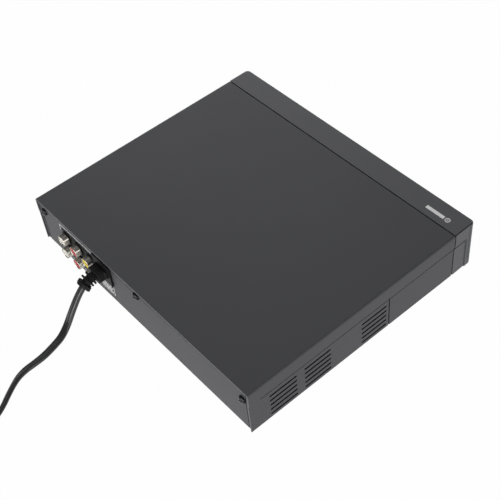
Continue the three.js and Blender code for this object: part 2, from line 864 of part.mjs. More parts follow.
// Loading drive: motor, pulley, belt and the gear that meshes with the rack
const drive = {
  span: [29, 4],
  motorRadius: 11.5,
  motorHeight: 7.3,
  shaftRadius: 1,
  drumRadius: 2.4,
  lipRadius: 4,
  beltThick: 1.2,
  beltHeight: 1.4,
};
const motorAt = [gearAt[0] - drive.span[0], gearAt[1] + drive.span[1]];
const pinionTop = tray.underside - running;
const pinionLow = pinionTop - gear.pinionHeight;
const drumSpan = [pinionLow - gear.lip - gear.drumHeight, pinionLow - gear.lip];

function pulley(at, drumRadius, lipRadius) {
  return join(
    pin("z", drumRadius, at, [drumSpan[0] - gear.lip, drumSpan[1] + gear.lip], sides.middle),
    pin("z", lipRadius, at, [drumSpan[0] - gear.lip, drumSpan[0]], sides.middle),
    pin("z", lipRadius, at, [drumSpan[1], drumSpan[1] + gear.lip], sides.middle),
  );
}

function driveGear() {
  const points = times(gear.teeth, (i) => {
    const middle = ((i + 0.5) / gear.teeth) * 2 * Math.PI;
    const rootRadius = gearRadius - tooth.rootShare * tooth.module;
    const tipRadius = gearRadius + tooth.tipShare * tooth.module;
    const halfRoot = (tooth.halfRootShare * tooth.module) / rootRadius;
    const halfTip = (tooth.halfTipShare * tooth.module) / tipRadius;
    return [
      [rootRadius, -halfRoot],
      [tipRadius, -halfTip],
      [tipRadius, halfTip],
      [rootRadius, halfRoot],
    ].map(([radius, turn]) =>
      new THREE.Vector2(...gearAt).add(
        new THREE.Vector2(radius, 0).rotateAround(new THREE.Vector2(), middle + turn),
      ),
    );
  }).flat();
  const pinion = prism("z", new THREE.Shape(points), [pinionLow, pinionTop]);
  const hub = pin("z", gear.hubRadius, gearAt, [frameFloor + touch, pinionLow + over], sides.small);
  const bore = pin("z", gear.postRadius + touch, gearAt, [frameFloor, pinionTop + over], sides.small);
  return cut(join(pinion, hub, pulley(gearAt, gear.drumRadius, gear.lipRadius)), bore);
}
add("drive_gear", driveGear(), finish(0xdedad0, 0.5, 0));

const motorFloor = frameFloor + touch;
add(
  "loading_motor",
  join(
    pin("z", drive.motorRadius, motorAt, [motorFloor, motorFloor + drive.motorHeight], sides.middle),
    pin("z", drive.shaftRadius, motorAt, [motorFloor, drumSpan[1]], sides.tiny),
  ),
  steel,
);
add(
  "motor_pulley",
  cut(
    pulley(motorAt, drive.drumRadius, drive.lipRadius),
    pin("z", drive.shaftRadius + touch, motorAt, [drumSpan[0] - over, drumSpan[1] + over], sides.tiny),
  ),
  nickel,
);

// A belt's outline runs round both pulleys: two arcs whose ends are the tangents' points.
function beltOutline(extra) {
  const [big, small] = [gear.drumRadius + extra, drive.drumRadius + extra];
  const across = new THREE.Vector2(...motorAt).sub(new THREE.Vector2(...gearAt));
  const heading = across.angle();
  const open = Math.acos((big - small) / across.length());
  const shape = new THREE.Shape();
  shape.absarc(...gearAt, big, heading + open, heading - open + 2 * Math.PI, false);
  shape.absarc(...motorAt, small, heading - open, heading + open, false);
  shape.closePath();
  return shape;
}
const beltSpan = centred((drumSpan[0] + drumSpan[1]) / 2, drive.beltHeight);
add(
  "loading_belt",
  cut(
    prism("z", beltOutline(touch + drive.beltThick), beltSpan, sides.small),
    prism("z", beltOutline(touch), [beltSpan[0] - over, beltSpan[1] + over], sides.small),
  ),
  rubber,
);

// Clamp bridge over the disc, and the puck that hangs in it
const bridge = { halfWidth: 13, low: 36.5, thick: 1.2, hole: 9.6 };
const puck = {
  neck: 9,
  upper: 13,
  upperThick: 1.4,
  lower: 14,
  low: 30.6,
  lowerThick: 4.4,
  recess: 8.2,
  recessDepth: 2.5,
};
const bridgeTop = bridge.low + bridge.thick;
const bridgeY = centred(discY, 2 * bridge.halfWidth);
add(
  "clamp_bridge",
  cut(
    join(
      block(frameX, bridgeY, [bridge.low, bridgeTop]),
      block([frameX[0], frameInner[0]], bridgeY, [frame.wallTop + touch, bridgeTop]),
      block([frameInner[1], frameX[1]], bridgeY, [frame.wallTop + touch, bridgeTop]),
    ),
    pin("z", bridge.hole, discAt, [bridge.low - over, bridgeTop + over], sides.middle),
  ),
  steel,
);
add(
  "clamper_puck",
  cut(
    join(
      pin("z", puck.neck, discAt, [puck.low, bridgeTop + touch + puck.upperThick], sides.middle),
      pin("z", puck.upper, discAt, [bridgeTop + touch, bridgeTop + touch + puck.upperThick], sides.middle),
      pin("z", puck.lower, discAt, [puck.low, puck.low + puck.lowerThick], sides.middle),
    ),
    pin("z", puck.recess, discAt, [puck.low - over, puck.low + puck.recessDepth], sides.middle),
  ),
  finish(0xdedad0, 0.5, 0),
);

// Front fascia: moulded shell with rounded edges, a stepped side, the tray's mouth and the controls' holes
const fascia = {
  wall: 2,
  taper: 0.3,
  corner: 2.5,
  lowerRound: 4,
  upperRound: 3,
  stepReach: 11.3,
  tongueThick: 1.5,
  tongueSide: 2,
  tongueReach: 6,
  tongueRoot: 6,
  tongueLow: 4,
};
function fasciaPlan(inset) {
  const half = caseWidth / 2 - inset;
  return outline([
    [-half, yFasciaBack],
    [-half + fascia.taper, yFront + inset, fascia.corner],
    [half - fascia.taper, yFront + inset, fascia.corner],
    [half, yFasciaBack],
  ]);
}
function fasciaBody(inset, back) {
  const side = outline([
    [yFasciaBack + back, zPlate + inset],
    [yFront + inset, zPlate + inset, fascia.lowerRound - inset],
    [yFront + inset, zTop - inset, fascia.upperRound],
    [yFasciaBack + back, zTop - inset],
  ]);
  const plan = prism("z", fasciaPlan(inset), [0, zTop + over]);
  const tailY = [yFasciaBack - touch / 2, yFasciaBack + over];
  const tail = block(centred(0, caseWidth - 2 * inset), tailY, [0, zTop + over]);
  return (back > 0 ? join(plan, tail) : plan).intersect(
    prism("x", side, [-caseWidth, caseWidth]),
  );
}

// Controls on the right half: display window, power button, row of keys, USB port
const power = { inset: 14.5, z: 29.5, radius: 5.5 };
const powerX = caseWidth / 2 - power.inset;
const display = { z: 29.5, gap: 11, height: 11, flange: 2, flangeThick: 1, moduleGap: 0.3, recess: 0.2 };
const displayX = [trayX[1] + display.gap, powerX - display.gap];
const usb = {
  inset: 15.5,
  z: 15,
  width: 13.2,
  height: 5.8,
  depth: 14,
  wall: 0.4,
  cavity: 12,
  tongueThick: 1.9,
  tongueWidth: 11,
  tongueSet: 5,
  recess: 0.2,
};
const usbX = caseWidth / 2 - usb.inset;

// The keys share the room between the tray's front and the USB port
const key = { z: 15, height: 5.5, gap: 0.3, flange: 0.8, flangeThick: 1, stemRadius: 1.5, travel: 0.7 };
const firstKeyShare = 0.28;
const keyPitchShare = 0.25;
const keyWidthShare = 0.17;
const keyRoom = usbX - usb.width / 2 - trayX[1];
const keyWidth = keyWidthShare * keyRoom;
const keys = ["eject_button", "play_button", "stop_button"].map((name, i) => [
  name,
  trayX[1] + (firstKeyShare + i * keyPitchShare) * keyRoom,
]);
const fasciaInner = yFront + fascia.wall;
const buttonBoard = {
  gap: 6,
  leftGap: 3.5,
  rightGap: 4.5,
  z: [8, 37],
  switchDepth: 3,
  switchSize: 6,
  plungerGap: 0.2,
};
const buttonBoardY = [fasciaInner + buttonBoard.gap, fasciaInner + buttonBoard.gap + board.thick];
const buttonBoardX = [trayX[1] + buttonBoard.leftGap, caseWidth / 2 - buttonBoard.rightGap];
const post = { radius: 1.5, leftInset: 2.7, portGap: 10.4, rightInset: 3, z: 20.3 };
const postX = [buttonBoardX[0] + post.leftInset, usbX - post.portGap, buttonBoardX[1] - post.rightInset];

function frontFascia() {
  const shell = cut(fasciaBody(0, 0), fasciaBody(fascia.wall, over));
  const layer = cut(
    prism("z", fasciaPlan(0), [zPlate - over, zStep]),
    prism("z", fasciaPlan(cover.stepIn), [zPlate - 2 * over, zStep + over]),
  );
  const stepY = [yFasciaBack - fascia.stepReach, yFasciaBack + over];
  const steps = layer.intersect(block([-caseWidth, caseWidth], stepY, [zPlate - over, zStep]));
  const tongueY = [yFasciaBack - fascia.tongueRoot, ySeam + fascia.tongueReach];
  const tongueTop = zCeiling - touch;
  const tongueX = caseWidth / 2 - fascia.wall - fascia.taper;
  const tongues = [
    block([-tongueX, tongueX], tongueY, [tongueTop - fascia.tongueThick, tongueTop]),
    ...[-1, 1].map((side) => {
      const outer = side * xInside;
      const inner = outer - side * fascia.tongueSide;
      return block(
        [Math.min(outer, inner), Math.max(outer, inner)],
        tongueY,
        [zFloor + chassis.flange + running, tongueTop],
      );
    }),
  ];
  const posts = postX.map((x) =>
    alongY(post.radius, [x, post.z], [yFront + over, buttonBoardY[0] - touch], sides.tiny),
  );
  const through = [yFront - over, fasciaInner + over];
  const grow = ([low, high], gap) => [low - gap, high + gap];
  const mouth = block(
    grow(trayX, tray.doorGap),
    through,
    [tray.doorLow - tray.doorGap, tray.doorHigh + tray.doorGap],
  );
  const window = block(
    grow(displayX, touch),
    through,
    grow(centred(display.z, display.height), touch),
  );
  const keyHoles = keys.map(([, x]) =>
    block(grow(centred(x, keyWidth), key.gap), through, grow(centred(key.z, key.height), key.gap)),
  );
  const powerHole = alongY(power.radius + key.gap, [powerX, power.z], through, sides.middle);
  const usbHole = block(
    grow(centred(usbX, usb.width), touch),
    through,
    grow(centred(usb.z, usb.height), touch),
  );
  const body = join(cut(shell, steps), tongues, posts);
  return cut(body, mouth, window, keyHoles, powerHole, usbHole);
}
add("front_fascia", frontFascia(), abs);

const behindWall = [fasciaInner + touch, fasciaInner + touch + display.flangeThick];
add(
  "display_window",
  join(
    block(displayX, [yFront + display.recess, behindWall[1]], centred(display.z, display.height)),
    block(
      [displayX[0] - display.flange, displayX[1] + display.flange],
      behindWall,
      centred(display.z, display.height + 2 * display.flange),
    ),
  ),
  finish(0x14161a, 0.1, 0),
);

const plungerFace = buttonBoardY[0] - buttonBoard.switchDepth;
const stemEnd = plungerFace - key.travel - buttonBoard.plungerGap;
for (const [name, x] of keys) {
  add(
    name,
    join(
      block(centred(x, keyWidth), [yFront - buttonProud, behindWall[1]], centred(key.z, key.height)),
      block(centred(x, keyWidth + 2 * key.flange), behindWall, centred(key.z, key.height + 2 * key.flange)),
      alongY(key.stemRadius, [x, key.z], [behindWall[0], stemEnd], sides.tiny),
    ),
    abs,
  );
}
const powerAt = [powerX, power.z];
add(
  "power_button",
  join(
    alongY(power.radius, powerAt, [yFront - buttonProud, behindWall[1]], sides.middle),
    alongY(power.radius + key.flange, powerAt, behindWall, sides.middle),
    alongY(key.stemRadius, powerAt, [behindWall[0], stemEnd], sides.tiny),
  ),
  abs,
);

function buttonBoardBody() {
  const plate = block(buttonBoardX, buttonBoardY, buttonBoard.z);
  const switches = [...keys.map(([, x]) => [x, key.z]), powerAt].map(([x, z]) =>
    block(
      centred(x, buttonBoard.switchSize),
      [plungerFace, buttonBoardY[0] + board.thick / 2],
      centred(z, buttonBoard.switchSize),
    ),
  );
  const module = block(
    [displayX[0] + display.flange, displayX[1] - display.flange],
    [behindWall[1] + display.moduleGap, buttonBoardY[0] + board.thick / 2],
    centred(display.z, display.height - display.flange),
  );
  const hole = block(
    centred(usbX, usb.width + 2 * touch),
    [buttonBoardY[0] - over, buttonBoardY[1] + over],
    centred(usb.z, usb.height + 2 * touch),
  );
  return cut(join(plate, switches, module), hole);
}
add("button_board", buttonBoardBody(), circuit);

function usbPort() {
  const front = yFront + usb.recess;
  const x = (shrink) => centred(usbX, usb.width - 2 * shrink);
  const z = (shrink) => centred(usb.z, usb.height - 2 * shrink);
  const shell = block(x(0), [front, front + usb.depth], z(0));
  const cavity = block(x(usb.wall), [front - over, front + usb.cavity], z(usb.wall));
  const tongueLow = usb.z + usb.height / 2 - usb.wall - usb.tongueThick - running;
  const tongue = block(
    centred(usbX, usb.tongueWidth),
    [front + usb.tongueSet, front + usb.cavity + over],
    [tongueLow, tongueLow + usb.tongueThick],
  );
  return join(cut(shell, cavity), tongue);
}
add("usb_port", usbPort(), nickel);

// Boards: a plate with its soldered parts, each placed by its shares of the board's free width and length
const atShare = ([low, high], size, share) => low + share * (high - low - size);
const boardX = [board.left, board.right];
function circuitBoard(span, parts, cans) {
  const top = zBoard + board.thick;
  const plate = block(boardX, span, [zBoard, top]);
  const blocks = parts.map(({ shares, size: [width, length, height] }) => {
    const x = atShare(boardX, width, shares[0]);
    const y = atShare(span, length, shares[1]);
    return block([x, x + width], [y, y + length], [top - board.thick / 2, top + height]);
  });
  const rounds = cans.shares.map(([widthShare, lengthShare]) => {
    const x = atShare(boardX, 2 * cans.radius, widthShare) + cans.radius;
    const y = atShare(span, 2 * cans.radius, lengthShare) + cans.radius;
    return pin("z", cans.radius, [x, y], [top - board.thick / 2, top + cans.height], sides.small);
  });
  return join(plate, blocks, rounds);
}
const decoder = { shares: [0.36, 0.39], size: [20, 20, 1.6] };
const memory = { shares: [0.7, 0.41], size: [10, 18, 1.2] };
const regulator = { shares: [0.91, 0.13], size: [8, 10, 6] };
const ribbonSocket = { shares: [0.05, 0.4], size: [4, 16, 4] };
const powerSocket = { shares: [0.52, 0.05], size: [18, 6, 7] };
const mainParts = [decoder, memory, regulator, ribbonSocket, powerSocket];
const mainCans = { radius: 3.2, height: 7, shares: [[0.67, 0.14], [0.9, 0.41], [0.9, 0.63]] };
add("main_board", circuitBoard(mainBoardY, mainParts, mainCans), circuit);

const heatSink = { shares: [0.84, 0.97], size: [4, 24, 20] };
const choke = { shares: [0.13, 0.17], size: [14, 14, 13] };
const fuse = { shares: [0.5, 0.05], size: [20, 4, 6] };
const outputSocket = { shares: [0.43, 1], size: [20, 5, 7] };
const powerCans = { radius: 4, height: 12, shares: [[0.38, 0.9], [0.53, 0.9]] };
add("power_board", circuitBoard(powerBoardY, [heatSink, choke, fuse, outputSocket], powerCans), circuit);

const transformer = {
  shares: [0.47, 0.55],
  width: 28,
  length: 24,
  height: 20,
  waist: 4,
  coreHeight: 8,
};
function transformerBody() {
  const low = zOnBoard;
  const left = atShare(boardX, transformer.width, transformer.shares[0]);
  const front = atShare(powerBoardY, transformer.length, transformer.shares[1]);
  const coil = block(
    [left + transformer.waist, left + transformer.width - transformer.waist],
    [front, front + transformer.length],
    [low, low + transformer.height],
  );
  const core = block(
    [left, left + transformer.width],
    [front + transformer.waist, front + transformer.length - transformer.waist],
    [low + transformer.waist, low + transformer.waist + transformer.coreHeight],
  );
  return join(coil, core);
}
add("power_transformer", transformerBody(), finish(0xc8a83c, 0.6, 0));

const capacitor = { shares: [0.9, 0.14], radius: 8, height: 24 };
add(
  "mains_capacitor",
  pin(
    "z",
    capacitor.radius,
    [
      atShare(boardX, 2 * capacitor.radius, capacitor.shares[0]) + capacitor.radius,
      atShare(powerBoardY, 2 * capacitor.radius, capacitor.shares[1]) + capacitor.radius,
    ],
    [zOnBoard, zOnBoard + capacitor.height],
    sides.middle,
  ),
  blackPlastic,
);

// Ribbon cable: a thin strip that arches from its socket on the main board to the loader's wall
const ribbon = { width: 14, thick: 0.35, archTop: 24, wallEnd: 15, steps: 12 };
function ribbonBody() {
  const [socketWidth, socketLength, socketHeight] = ribbonSocket.size;
  const socketX = atShare(boardX, socketWidth, ribbonSocket.shares[0]) + socketWidth / 2;
  const wallX = frameX[1] + touch + ribbon.thick / 2;
  const socketTop = zBoard + board.thick + socketHeight + touch;
  const curve = new THREE.CatmullRomCurve3([
    new THREE.Vector3(socketX, socketTop, 0),
    new THREE.Vector3(socketX, (socketTop + ribbon.archTop) / 2, 0),
    new THREE.Vector3((socketX + wallX) / 2, ribbon.archTop, 0),
    new THREE.Vector3(wallX, (ribbon.wallEnd + ribbon.archTop) / 2, 0),
    new THREE.Vector3(wallX, ribbon.wallEnd, 0),
  ]);
  const edge = (side) =>
    times(ribbon.steps + 1, (i) => {
      const t = i / ribbon.steps;
      const tangent = curve.getTangent(t);
      const point = curve.getPoint(t);
      const shift = (side * ribbon.thick) / 2;
      return new THREE.Vector2(point.x - tangent.y * shift, point.y + tangent.x * shift);
    });
  const middle = atShare(mainBoardY, socketLength, ribbonSocket.shares[1]) + socketLength / 2;
  return prism("y", new THREE.Shape([...edge(1), ...edge(-1).reverse()]), centred(middle, ribbon.width));
}
add("ribbon_cable", ribbonBody(), finish(0xd8d8d2, 0.5, 0));

// Mains lead: plug in the inlet, flat twin cord on the table, coil, tie and wall plug
const cord = { width: 5.4, height: 3.4, lift: 0.2 };
const plug = {
  noseLength: 11.2,
  bore: 1.5,
  bodyWidth: 12,
  bodyHeight: 8.4,
  bodyLength: 6.2,
  corner: 2,
  neckWidth: 7,
  neckHeight: 5.2,
  neckSteps: 6,
  ribWidth: 9.6,
  ribHeight: 7.4,
  ribThick: 1.3,
  ribCount: 2,
  collarThick: 3,
  collarWidth: 8.4,
  finWidth: 12.4,
  finHeight: 2.8,
  bendRadius: 14,
  bendTurn: 41,
};
const plugFace = inletFace + touch;
const bodyEnd = plugFace + plug.bodyLength;

// Where the plug's bent tail is after a share of its turn
function onBend(share) {
  const turn = THREE.MathUtils.degToRad(plug.bendTurn * share);
  return {
    degrees: -plug.bendTurn * share,
    heading: new THREE.Vector3(0, Math.cos(turn), -Math.sin(turn)),
    place: new THREE.Vector3(
      inletX,
      bodyEnd + plug.bendRadius * Math.sin(turn),
      inletZ - plug.bendRadius * (1 - Math.cos(turn)),
    ),
  };
}

function mainsPlug() {
  const nose = prism(
    "y",
    stadium(inlet.recessWidth - 2 * touch, inlet.recessHeight - 2 * touch, inletX, inletZ),
    [plugFace - plug.noseLength, plugFace + over],
  );
  const bores = [-1, 1].map((side) =>
    alongY(
      plug.bore,
      [inletX + (side * inlet.pinPitch) / 2, inletZ],
      [plugFace - plug.noseLength - over, recessFloor + inlet.pinLength + over],
      sides.tiny,
    ),
  );
  const rounded = (width, height) =>
    rectangle(centred(0, width), centred(0, height), Math.min(plug.corner, height / 3));
  const body = prism("y", rounded(plug.bodyWidth, plug.bodyHeight), [plugFace, bodyEnd], 2).translate(
    inletX,
    0,
    inletZ,
  );
  const neckPlaces = times(plug.neckSteps + 1, (i) => onBend(i / plug.neckSteps).place);
  const neckLine = new THREE.CatmullRomCurve3(neckPlaces);
  neckLine.points.unshift(neckLine.points[0].clone().setY(bodyEnd - over));
  const neck = solid(
    new THREE.ExtrudeGeometry(rounded(plug.neckWidth, plug.neckHeight), {
      steps: plug.neckSteps,
      bevelEnabled: false,
      curveSegments: 1,
      extrudePath: neckLine,
    }),
  );
  const tailLength = plug.bendRadius * THREE.MathUtils.degToRad(plug.bendTurn);
  const piece = (width, height, thick, share) => {
    const { degrees, place } = onBend(share);
    return prism("y", rounded(width, height), [-thick, 0], 2)
      .rotate(degrees, 0, 0)
      .translate(place.x, place.y, place.z);
  };
  const ribs = times(plug.ribCount, (i) => {
    const spare = tailLength - plug.collarThick - plug.ribCount * plug.ribThick;
    const gap = spare / (plug.ribCount + 1);
    const place = ((i + 1) * (gap + plug.ribThick)) / tailLength;
    return piece(plug.ribWidth, plug.ribHeight, plug.ribThick, place);
  });
  return cut(
    join(
      nose,
      body,
      neck,
      ribs,
      piece(plug.collarWidth, plug.ribHeight, plug.collarThick, 1),
      piece(plug.finWidth, plug.finHeight, plug.collarThick, 1),
    ),
    bores,
  );
}
add("mains_plug", mainsPlug(), rubber);

// The tie's strap passes under the coil, so the coil's lower layer lies on it
const tie = { thick: 0.8, width: 4, gap: 0.3 };
const zCord = cord.height / 2 + cord.lift;
const zCoil = cord.height / 2 + cord.lift + tie.thick + tie.gap;
const tail = onBend(1);
const cordStart = tail.place.clone().addScaledVector(tail.heading, touch);

// The cord's free stretch: a hand-chosen route from the plug's collar down to the table and on to the coil
const routeFromInlet = [
  [0.2, 18.6, 24.6],
  [0.4, 22.2, 20.3],
  [0.2, 25.9, 15.8],
  [-0.4, 30.3, 10.6],
  [-1.5, 34.6, 6.2],
  [-3.1, 39, 3.4],
  [-5.1, 43.8, 2.1],
  [-7, 49.6, zCord],
  [-8.7, 55.6, zCord],
  [-9.9, 61.6, zCord],
  [-10.5, 68, zCord],
  [-10.9, 74.2, zCord],
  [-12.6, 80.6, zCord],
  [-16.1, 87.2, zCord],
  [-20.4, 93.8, zCord],
  [-24.9, 100.2, zCord],
  [-28.6, 107, zCord],
  [-31.3, 114.5, zCord],
  [-33.3, 123, zCord + cord.lift],
  [-34.5, 131, (zCord + zCoil) / 2],
  [-35, 138, zCoil - cord.lift],
  [-35, 144, zCoil],
];
const route = [
  cordStart.toArray(),
  ...routeFromInlet.map(([x, y, z]) => [inletX + x, yRear + y, z]),
];
const section = new THREE.Shape(
  times(sides.tiny, (i) => {
    const angle = ((i + 0.5) / sides.tiny) * 2 * Math.PI;
    return new THREE.Vector2((cord.width / 2) * Math.cos(angle), (cord.height / 2) * Math.sin(angle));
  }),
);
const cordSteps = 60;
const cordCurve = new THREE.CatmullRomCurve3(route.map((point) => new THREE.Vector3(...point)));
add(
  "mains_cord",
  solid(
    new THREE.ExtrudeGeometry(section, { steps: cordSteps, bevelEnabled: false, extrudePath: cordCurve }),
  ),
  rubber,
);

// The coil: one tube that spirals in on the lower layer and out on the upper one
const coil = {
  fromInlet: [7.5, 150],
  outer: 42.5,
  inner: 22.4,
  turns: 6.5,
  layerPitch: 4.1,
  lead: 5.4,
  tail: 34,
  loopSteps: 24,
  ring: 6,
};
const coilX = inletX + coil.fromInlet[0];
const coilY = yRear + coil.fromInlet[1];
function coilPoint(turn) {
  const half = coil.turns / 2;
  const away = Math.abs(turn - half);
  const radius = coil.inner + ((coil.outer - coil.inner) * away) / half;
  const climbShare = THREE.MathUtils.clamp((turn - half) / 0.5 + 0.5, 0, 1);
  const angle = Math.PI - 2 * Math.PI * turn;
  return new THREE.Vector3(
    coilX + radius * Math.cos(angle),
    coilY + radius * Math.sin(angle),
    zCoil + climbShare * coil.layerPitch,
  );
}
function coilLine() {
  const count = Math.round(coil.turns * coil.loopSteps);
  const points = times(count + 1, (i) => coilPoint((i / count) * coil.turns));
  const moved = (point, length) => point.clone().setY(point.y + length);
  return [
    moved(points[0], -coil.lead),
    ...points,
    moved(points.at(-1), -coil.lead),
    moved(points.at(-1), -coil.tail),
  ];
}

// Rings of points across the line: flat ones, wide along the table.
function tube(line) {
  const corners = line.flatMap((point, i) => {
    const ahead = line[Math.min(i + 1, line.length - 1)];
    const along = ahead.clone().sub(line[Math.max(i - 1, 0)]).setZ(0).normalize();
    const across = new THREE.Vector3(along.y, -along.x, 0);
    return times(coil.ring, (k) => {
      const angle = (k / coil.ring) * 2 * Math.PI;
      return point
        .clone()
        .addScaledVector(across, (cord.width / 2) * Math.cos(angle))
        .addScaledVector(Z, (cord.height / 2) * Math.sin(angle));
    });
  });
  const index = [];
  const n = coil.ring;
  for (let i = 0; i + 1 < line.length; i++) {
    for (let k = 0; k < n; k++) {
      const [a, b] = [i * n + k, i * n + ((k + 1) % n)];
      index.push(a, a + n, b, b, a + n, b + n);
    }
  }
  const end = (line.length - 1) * n;
  for (let k = 1; k + 1 < n; k++) {
    index.push(0, k, k + 1);
    index.push(end, end + k + 1, end + k);
  }
  const geometry = new THREE.BufferGeometry().setFromPoints(corners);
  geometry.setIndex(index);
  return geometry;
}
const line = coilLine();
const coilGeometry = tube(line);
const ringPoints = coilGeometry.attributes.position;
let leastGap = Infinity;
for (let i = 0; i < line.length; i++) {
  for (let j = i + coil.loopSteps / 2; j < line.length; j++) {
    for (let a = 0; a < coil.ring; a++) {
      for (let b = 0; b < coil.ring; b++) {
        const p = new THREE.Vector3().fromBufferAttribute(ringPoints, i * coil.ring + a);
        const q = new THREE.Vector3().fromBufferAttribute(ringPoints, j * coil.ring + b);
        leastGap = Math.min(leastGap, p.distanceTo(q));
      }
    }
  }
}
const coilLength = line.slice(1).reduce((sum, point, i) => sum + point.distanceTo(line[i]), 0);
console.log("coil: least gap to itself", leastGap.toFixed(2), "mm, cord in it", coilLength.toFixed(0), "mm");
console.log("free stretch of the cord", cordCurve.getLength().toFixed(0), "mm");
add("cord_coil", solid(coilGeometry), rubber);

// The tie: a strap round the bundle of turns, on the side away from the player
function cableTie() {
  const y = [coilY + coil.inner - cord.width / 2, coilY + coil.outer + cord.width / 2];
  const z = [zCoil - cord.height / 2, zCoil + coil.layerPitch + cord.height / 2];
  const strap = (grow) => rectangle([y[0] - grow, y[1] + grow], [z[0] - grow, z[1] + grow]);
  return cut(
    prism("x", strap(tie.gap + tie.thick), centred(coilX, tie.width)),
    prism("x", strap(tie.gap), centred(coilX, 2 * tie.width)),
  );
}
add("cable_tie", cableTie(), blackPlastic);

// Wall plug: moulded body with two flat blades, lying at the coil's far end
const wallPlug = {
  width: 22,
  height: 12,
  length: 26,
  noseWidth: 10,
  bladeLength: 16,
  bladeWidth: 6.3,
  bladeThick: 1.5,
  bladePitch: 12.7,
};
function wallPlugBody() {
  const end = line.at(-1);
  const back = end.y - touch;
  const front = back - wallPlug.length;
  const body = prism(
    "z",
    outline([
      [end.x - wallPlug.noseWidth / 2, back],
      [end.x + wallPlug.noseWidth / 2, back],
      [end.x + wallPlug.width / 2, back - wallPlug.length / 2],
      [end.x + wallPlug.width / 2, front],
      [end.x - wallPlug.width / 2, front],
      [end.x - wallPlug.width / 2, back - wallPlug.length / 2],
    ]),
    [cord.lift, end.z + wallPlug.height / 2],
  );
  const blades = [-1, 1].map((side) =>
    block(
      centred(end.x + (side * wallPlug.bladePitch) / 2, wallPlug.bladeThick),
      [front - wallPlug.bladeLength, front + over],
      centred(end.z, wallPlug.bladeWidth),
    ),
  );
  return join(body, blades);
}
add("wall_plug", wallPlugBody(), rubber);

export default player;
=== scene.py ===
"""A compact disc player with its mains lead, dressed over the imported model. Metres, +Z up, front to -Y."""

import math
from contextlib import contextmanager
from types import SimpleNamespace as Sizes

import bpy
from mathutils import Matrix, Vector


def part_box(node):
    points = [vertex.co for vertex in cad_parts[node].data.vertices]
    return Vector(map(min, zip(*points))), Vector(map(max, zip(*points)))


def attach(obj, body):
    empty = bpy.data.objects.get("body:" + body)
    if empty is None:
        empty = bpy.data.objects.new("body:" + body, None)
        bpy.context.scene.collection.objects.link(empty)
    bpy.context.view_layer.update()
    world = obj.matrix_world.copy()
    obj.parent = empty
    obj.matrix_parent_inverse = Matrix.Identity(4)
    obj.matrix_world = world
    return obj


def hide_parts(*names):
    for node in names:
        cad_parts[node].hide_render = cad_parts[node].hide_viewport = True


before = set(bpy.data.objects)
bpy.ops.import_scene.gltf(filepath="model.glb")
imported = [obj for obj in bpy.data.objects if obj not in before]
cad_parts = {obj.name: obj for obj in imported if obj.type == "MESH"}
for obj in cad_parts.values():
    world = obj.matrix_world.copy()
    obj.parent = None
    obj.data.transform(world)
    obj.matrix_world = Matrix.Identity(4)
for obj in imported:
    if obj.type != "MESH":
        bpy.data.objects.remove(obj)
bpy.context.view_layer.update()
scene = bpy.context.scene

# The view: a long lens from above and behind the left rear corner, on white paper that runs out of the
# picture. The paper is lit like paper, and is brought up to white where the camera or a gloss sees it.
CAMERA = Sizes(place=(-388.86, 279.68, 532.93), turn=(41.942, 4.526, -130.723), lens=74.29, sensor=36.0)
PAPER = Sizes(size=9000.0, colour="#f2f2f2", lift=0.98)
ROOM = Sizes(colour="#8f9194", strength=0.55)
WHITE = "#ffffff"


def mm(*values):
    """Millimetres to metres: one number, or a vector of several."""
    metres = [value / 1000.0 for value in values]
    return metres[0] if len(metres) == 1 else Vector(metres)


def colour(code):
    """An sRGB hex code as linear red, green, blue and alpha."""
    channels = [int(code[i : i + 2], 16) / 255.0 for i in (1, 3, 5)]
    return [c / 12.92 if c <= 0.04045 else ((c + 0.055) / 1.055) ** 2.4 for c in channels] + [1.0]


def add_node(tree, kind, inputs=(), **settings):
    """Adds a shader node to a tree, sets its properties, and fills or links its inputs."""
    made = tree.nodes.new("ShaderNode" + kind)
    for name, value in settings.items():
        setattr(made, name, value)
    for socket, value in dict(inputs).items():
        if isinstance(value, bpy.types.NodeSocket):
            tree.links.new(value, made.inputs[socket])
        else:
            made.inputs[socket].default_value = value
    return made


def bare_tree(owner):
    """The node tree of a material or a world, with nothing in it yet."""
    owner.use_nodes = True
    owner.node_tree.nodes.clear()
    return owner.node_tree


view = bpy.data.cameras.new("camera")
view.sensor_width, view.lens = CAMERA.sensor, CAMERA.lens
view.clip_start, view.clip_end = mm(10), mm(20000)
camera = bpy.data.objects.new("camera", view)
camera.location = mm(*CAMERA.place)
camera.rotation_euler = [math.radians(turn) for turn in CAMERA.turn]
scene.collection.objects.link(camera)
scene.camera = camera
scene.view_settings.view_transform = "Standard"

bpy.ops.mesh.primitive_plane_add(size=mm(PAPER.size), location=(0, 0, mm(-0.05)))
paper = bpy.context.object
paper.name = "paper"
paper.data.materials.append(bpy.data.materials.new("white paper"))
tree = bare_tree(paper.data.materials[0])
rays = add_node(tree, "LightPath").outputs
seen = rays["Is Camera Ray"]
for kind in ("Is Glossy Ray", "Is Transmission Ray"):
    seen = add_node(tree, "Math", {0: seen, 1: rays[kind]}, operation="MAXIMUM").outputs[0]
share = add_node(tree, "Math", {0: seen, 1: PAPER.lift}, operation="MULTIPLY").outputs[0]
lit = add_node(tree, "BsdfDiffuse", {"Color": colour(PAPER.colour)}).outputs[0]
glow = add_node(tree, "Emission", {"Color": colour(WHITE), "Strength": 1.0}).outputs[0]
mixed = add_node(tree, "MixShader", {0: share, 1: lit, 2: glow}).outputs[0]
add_node(tree, "OutputMaterial", {"Surface": mixed})

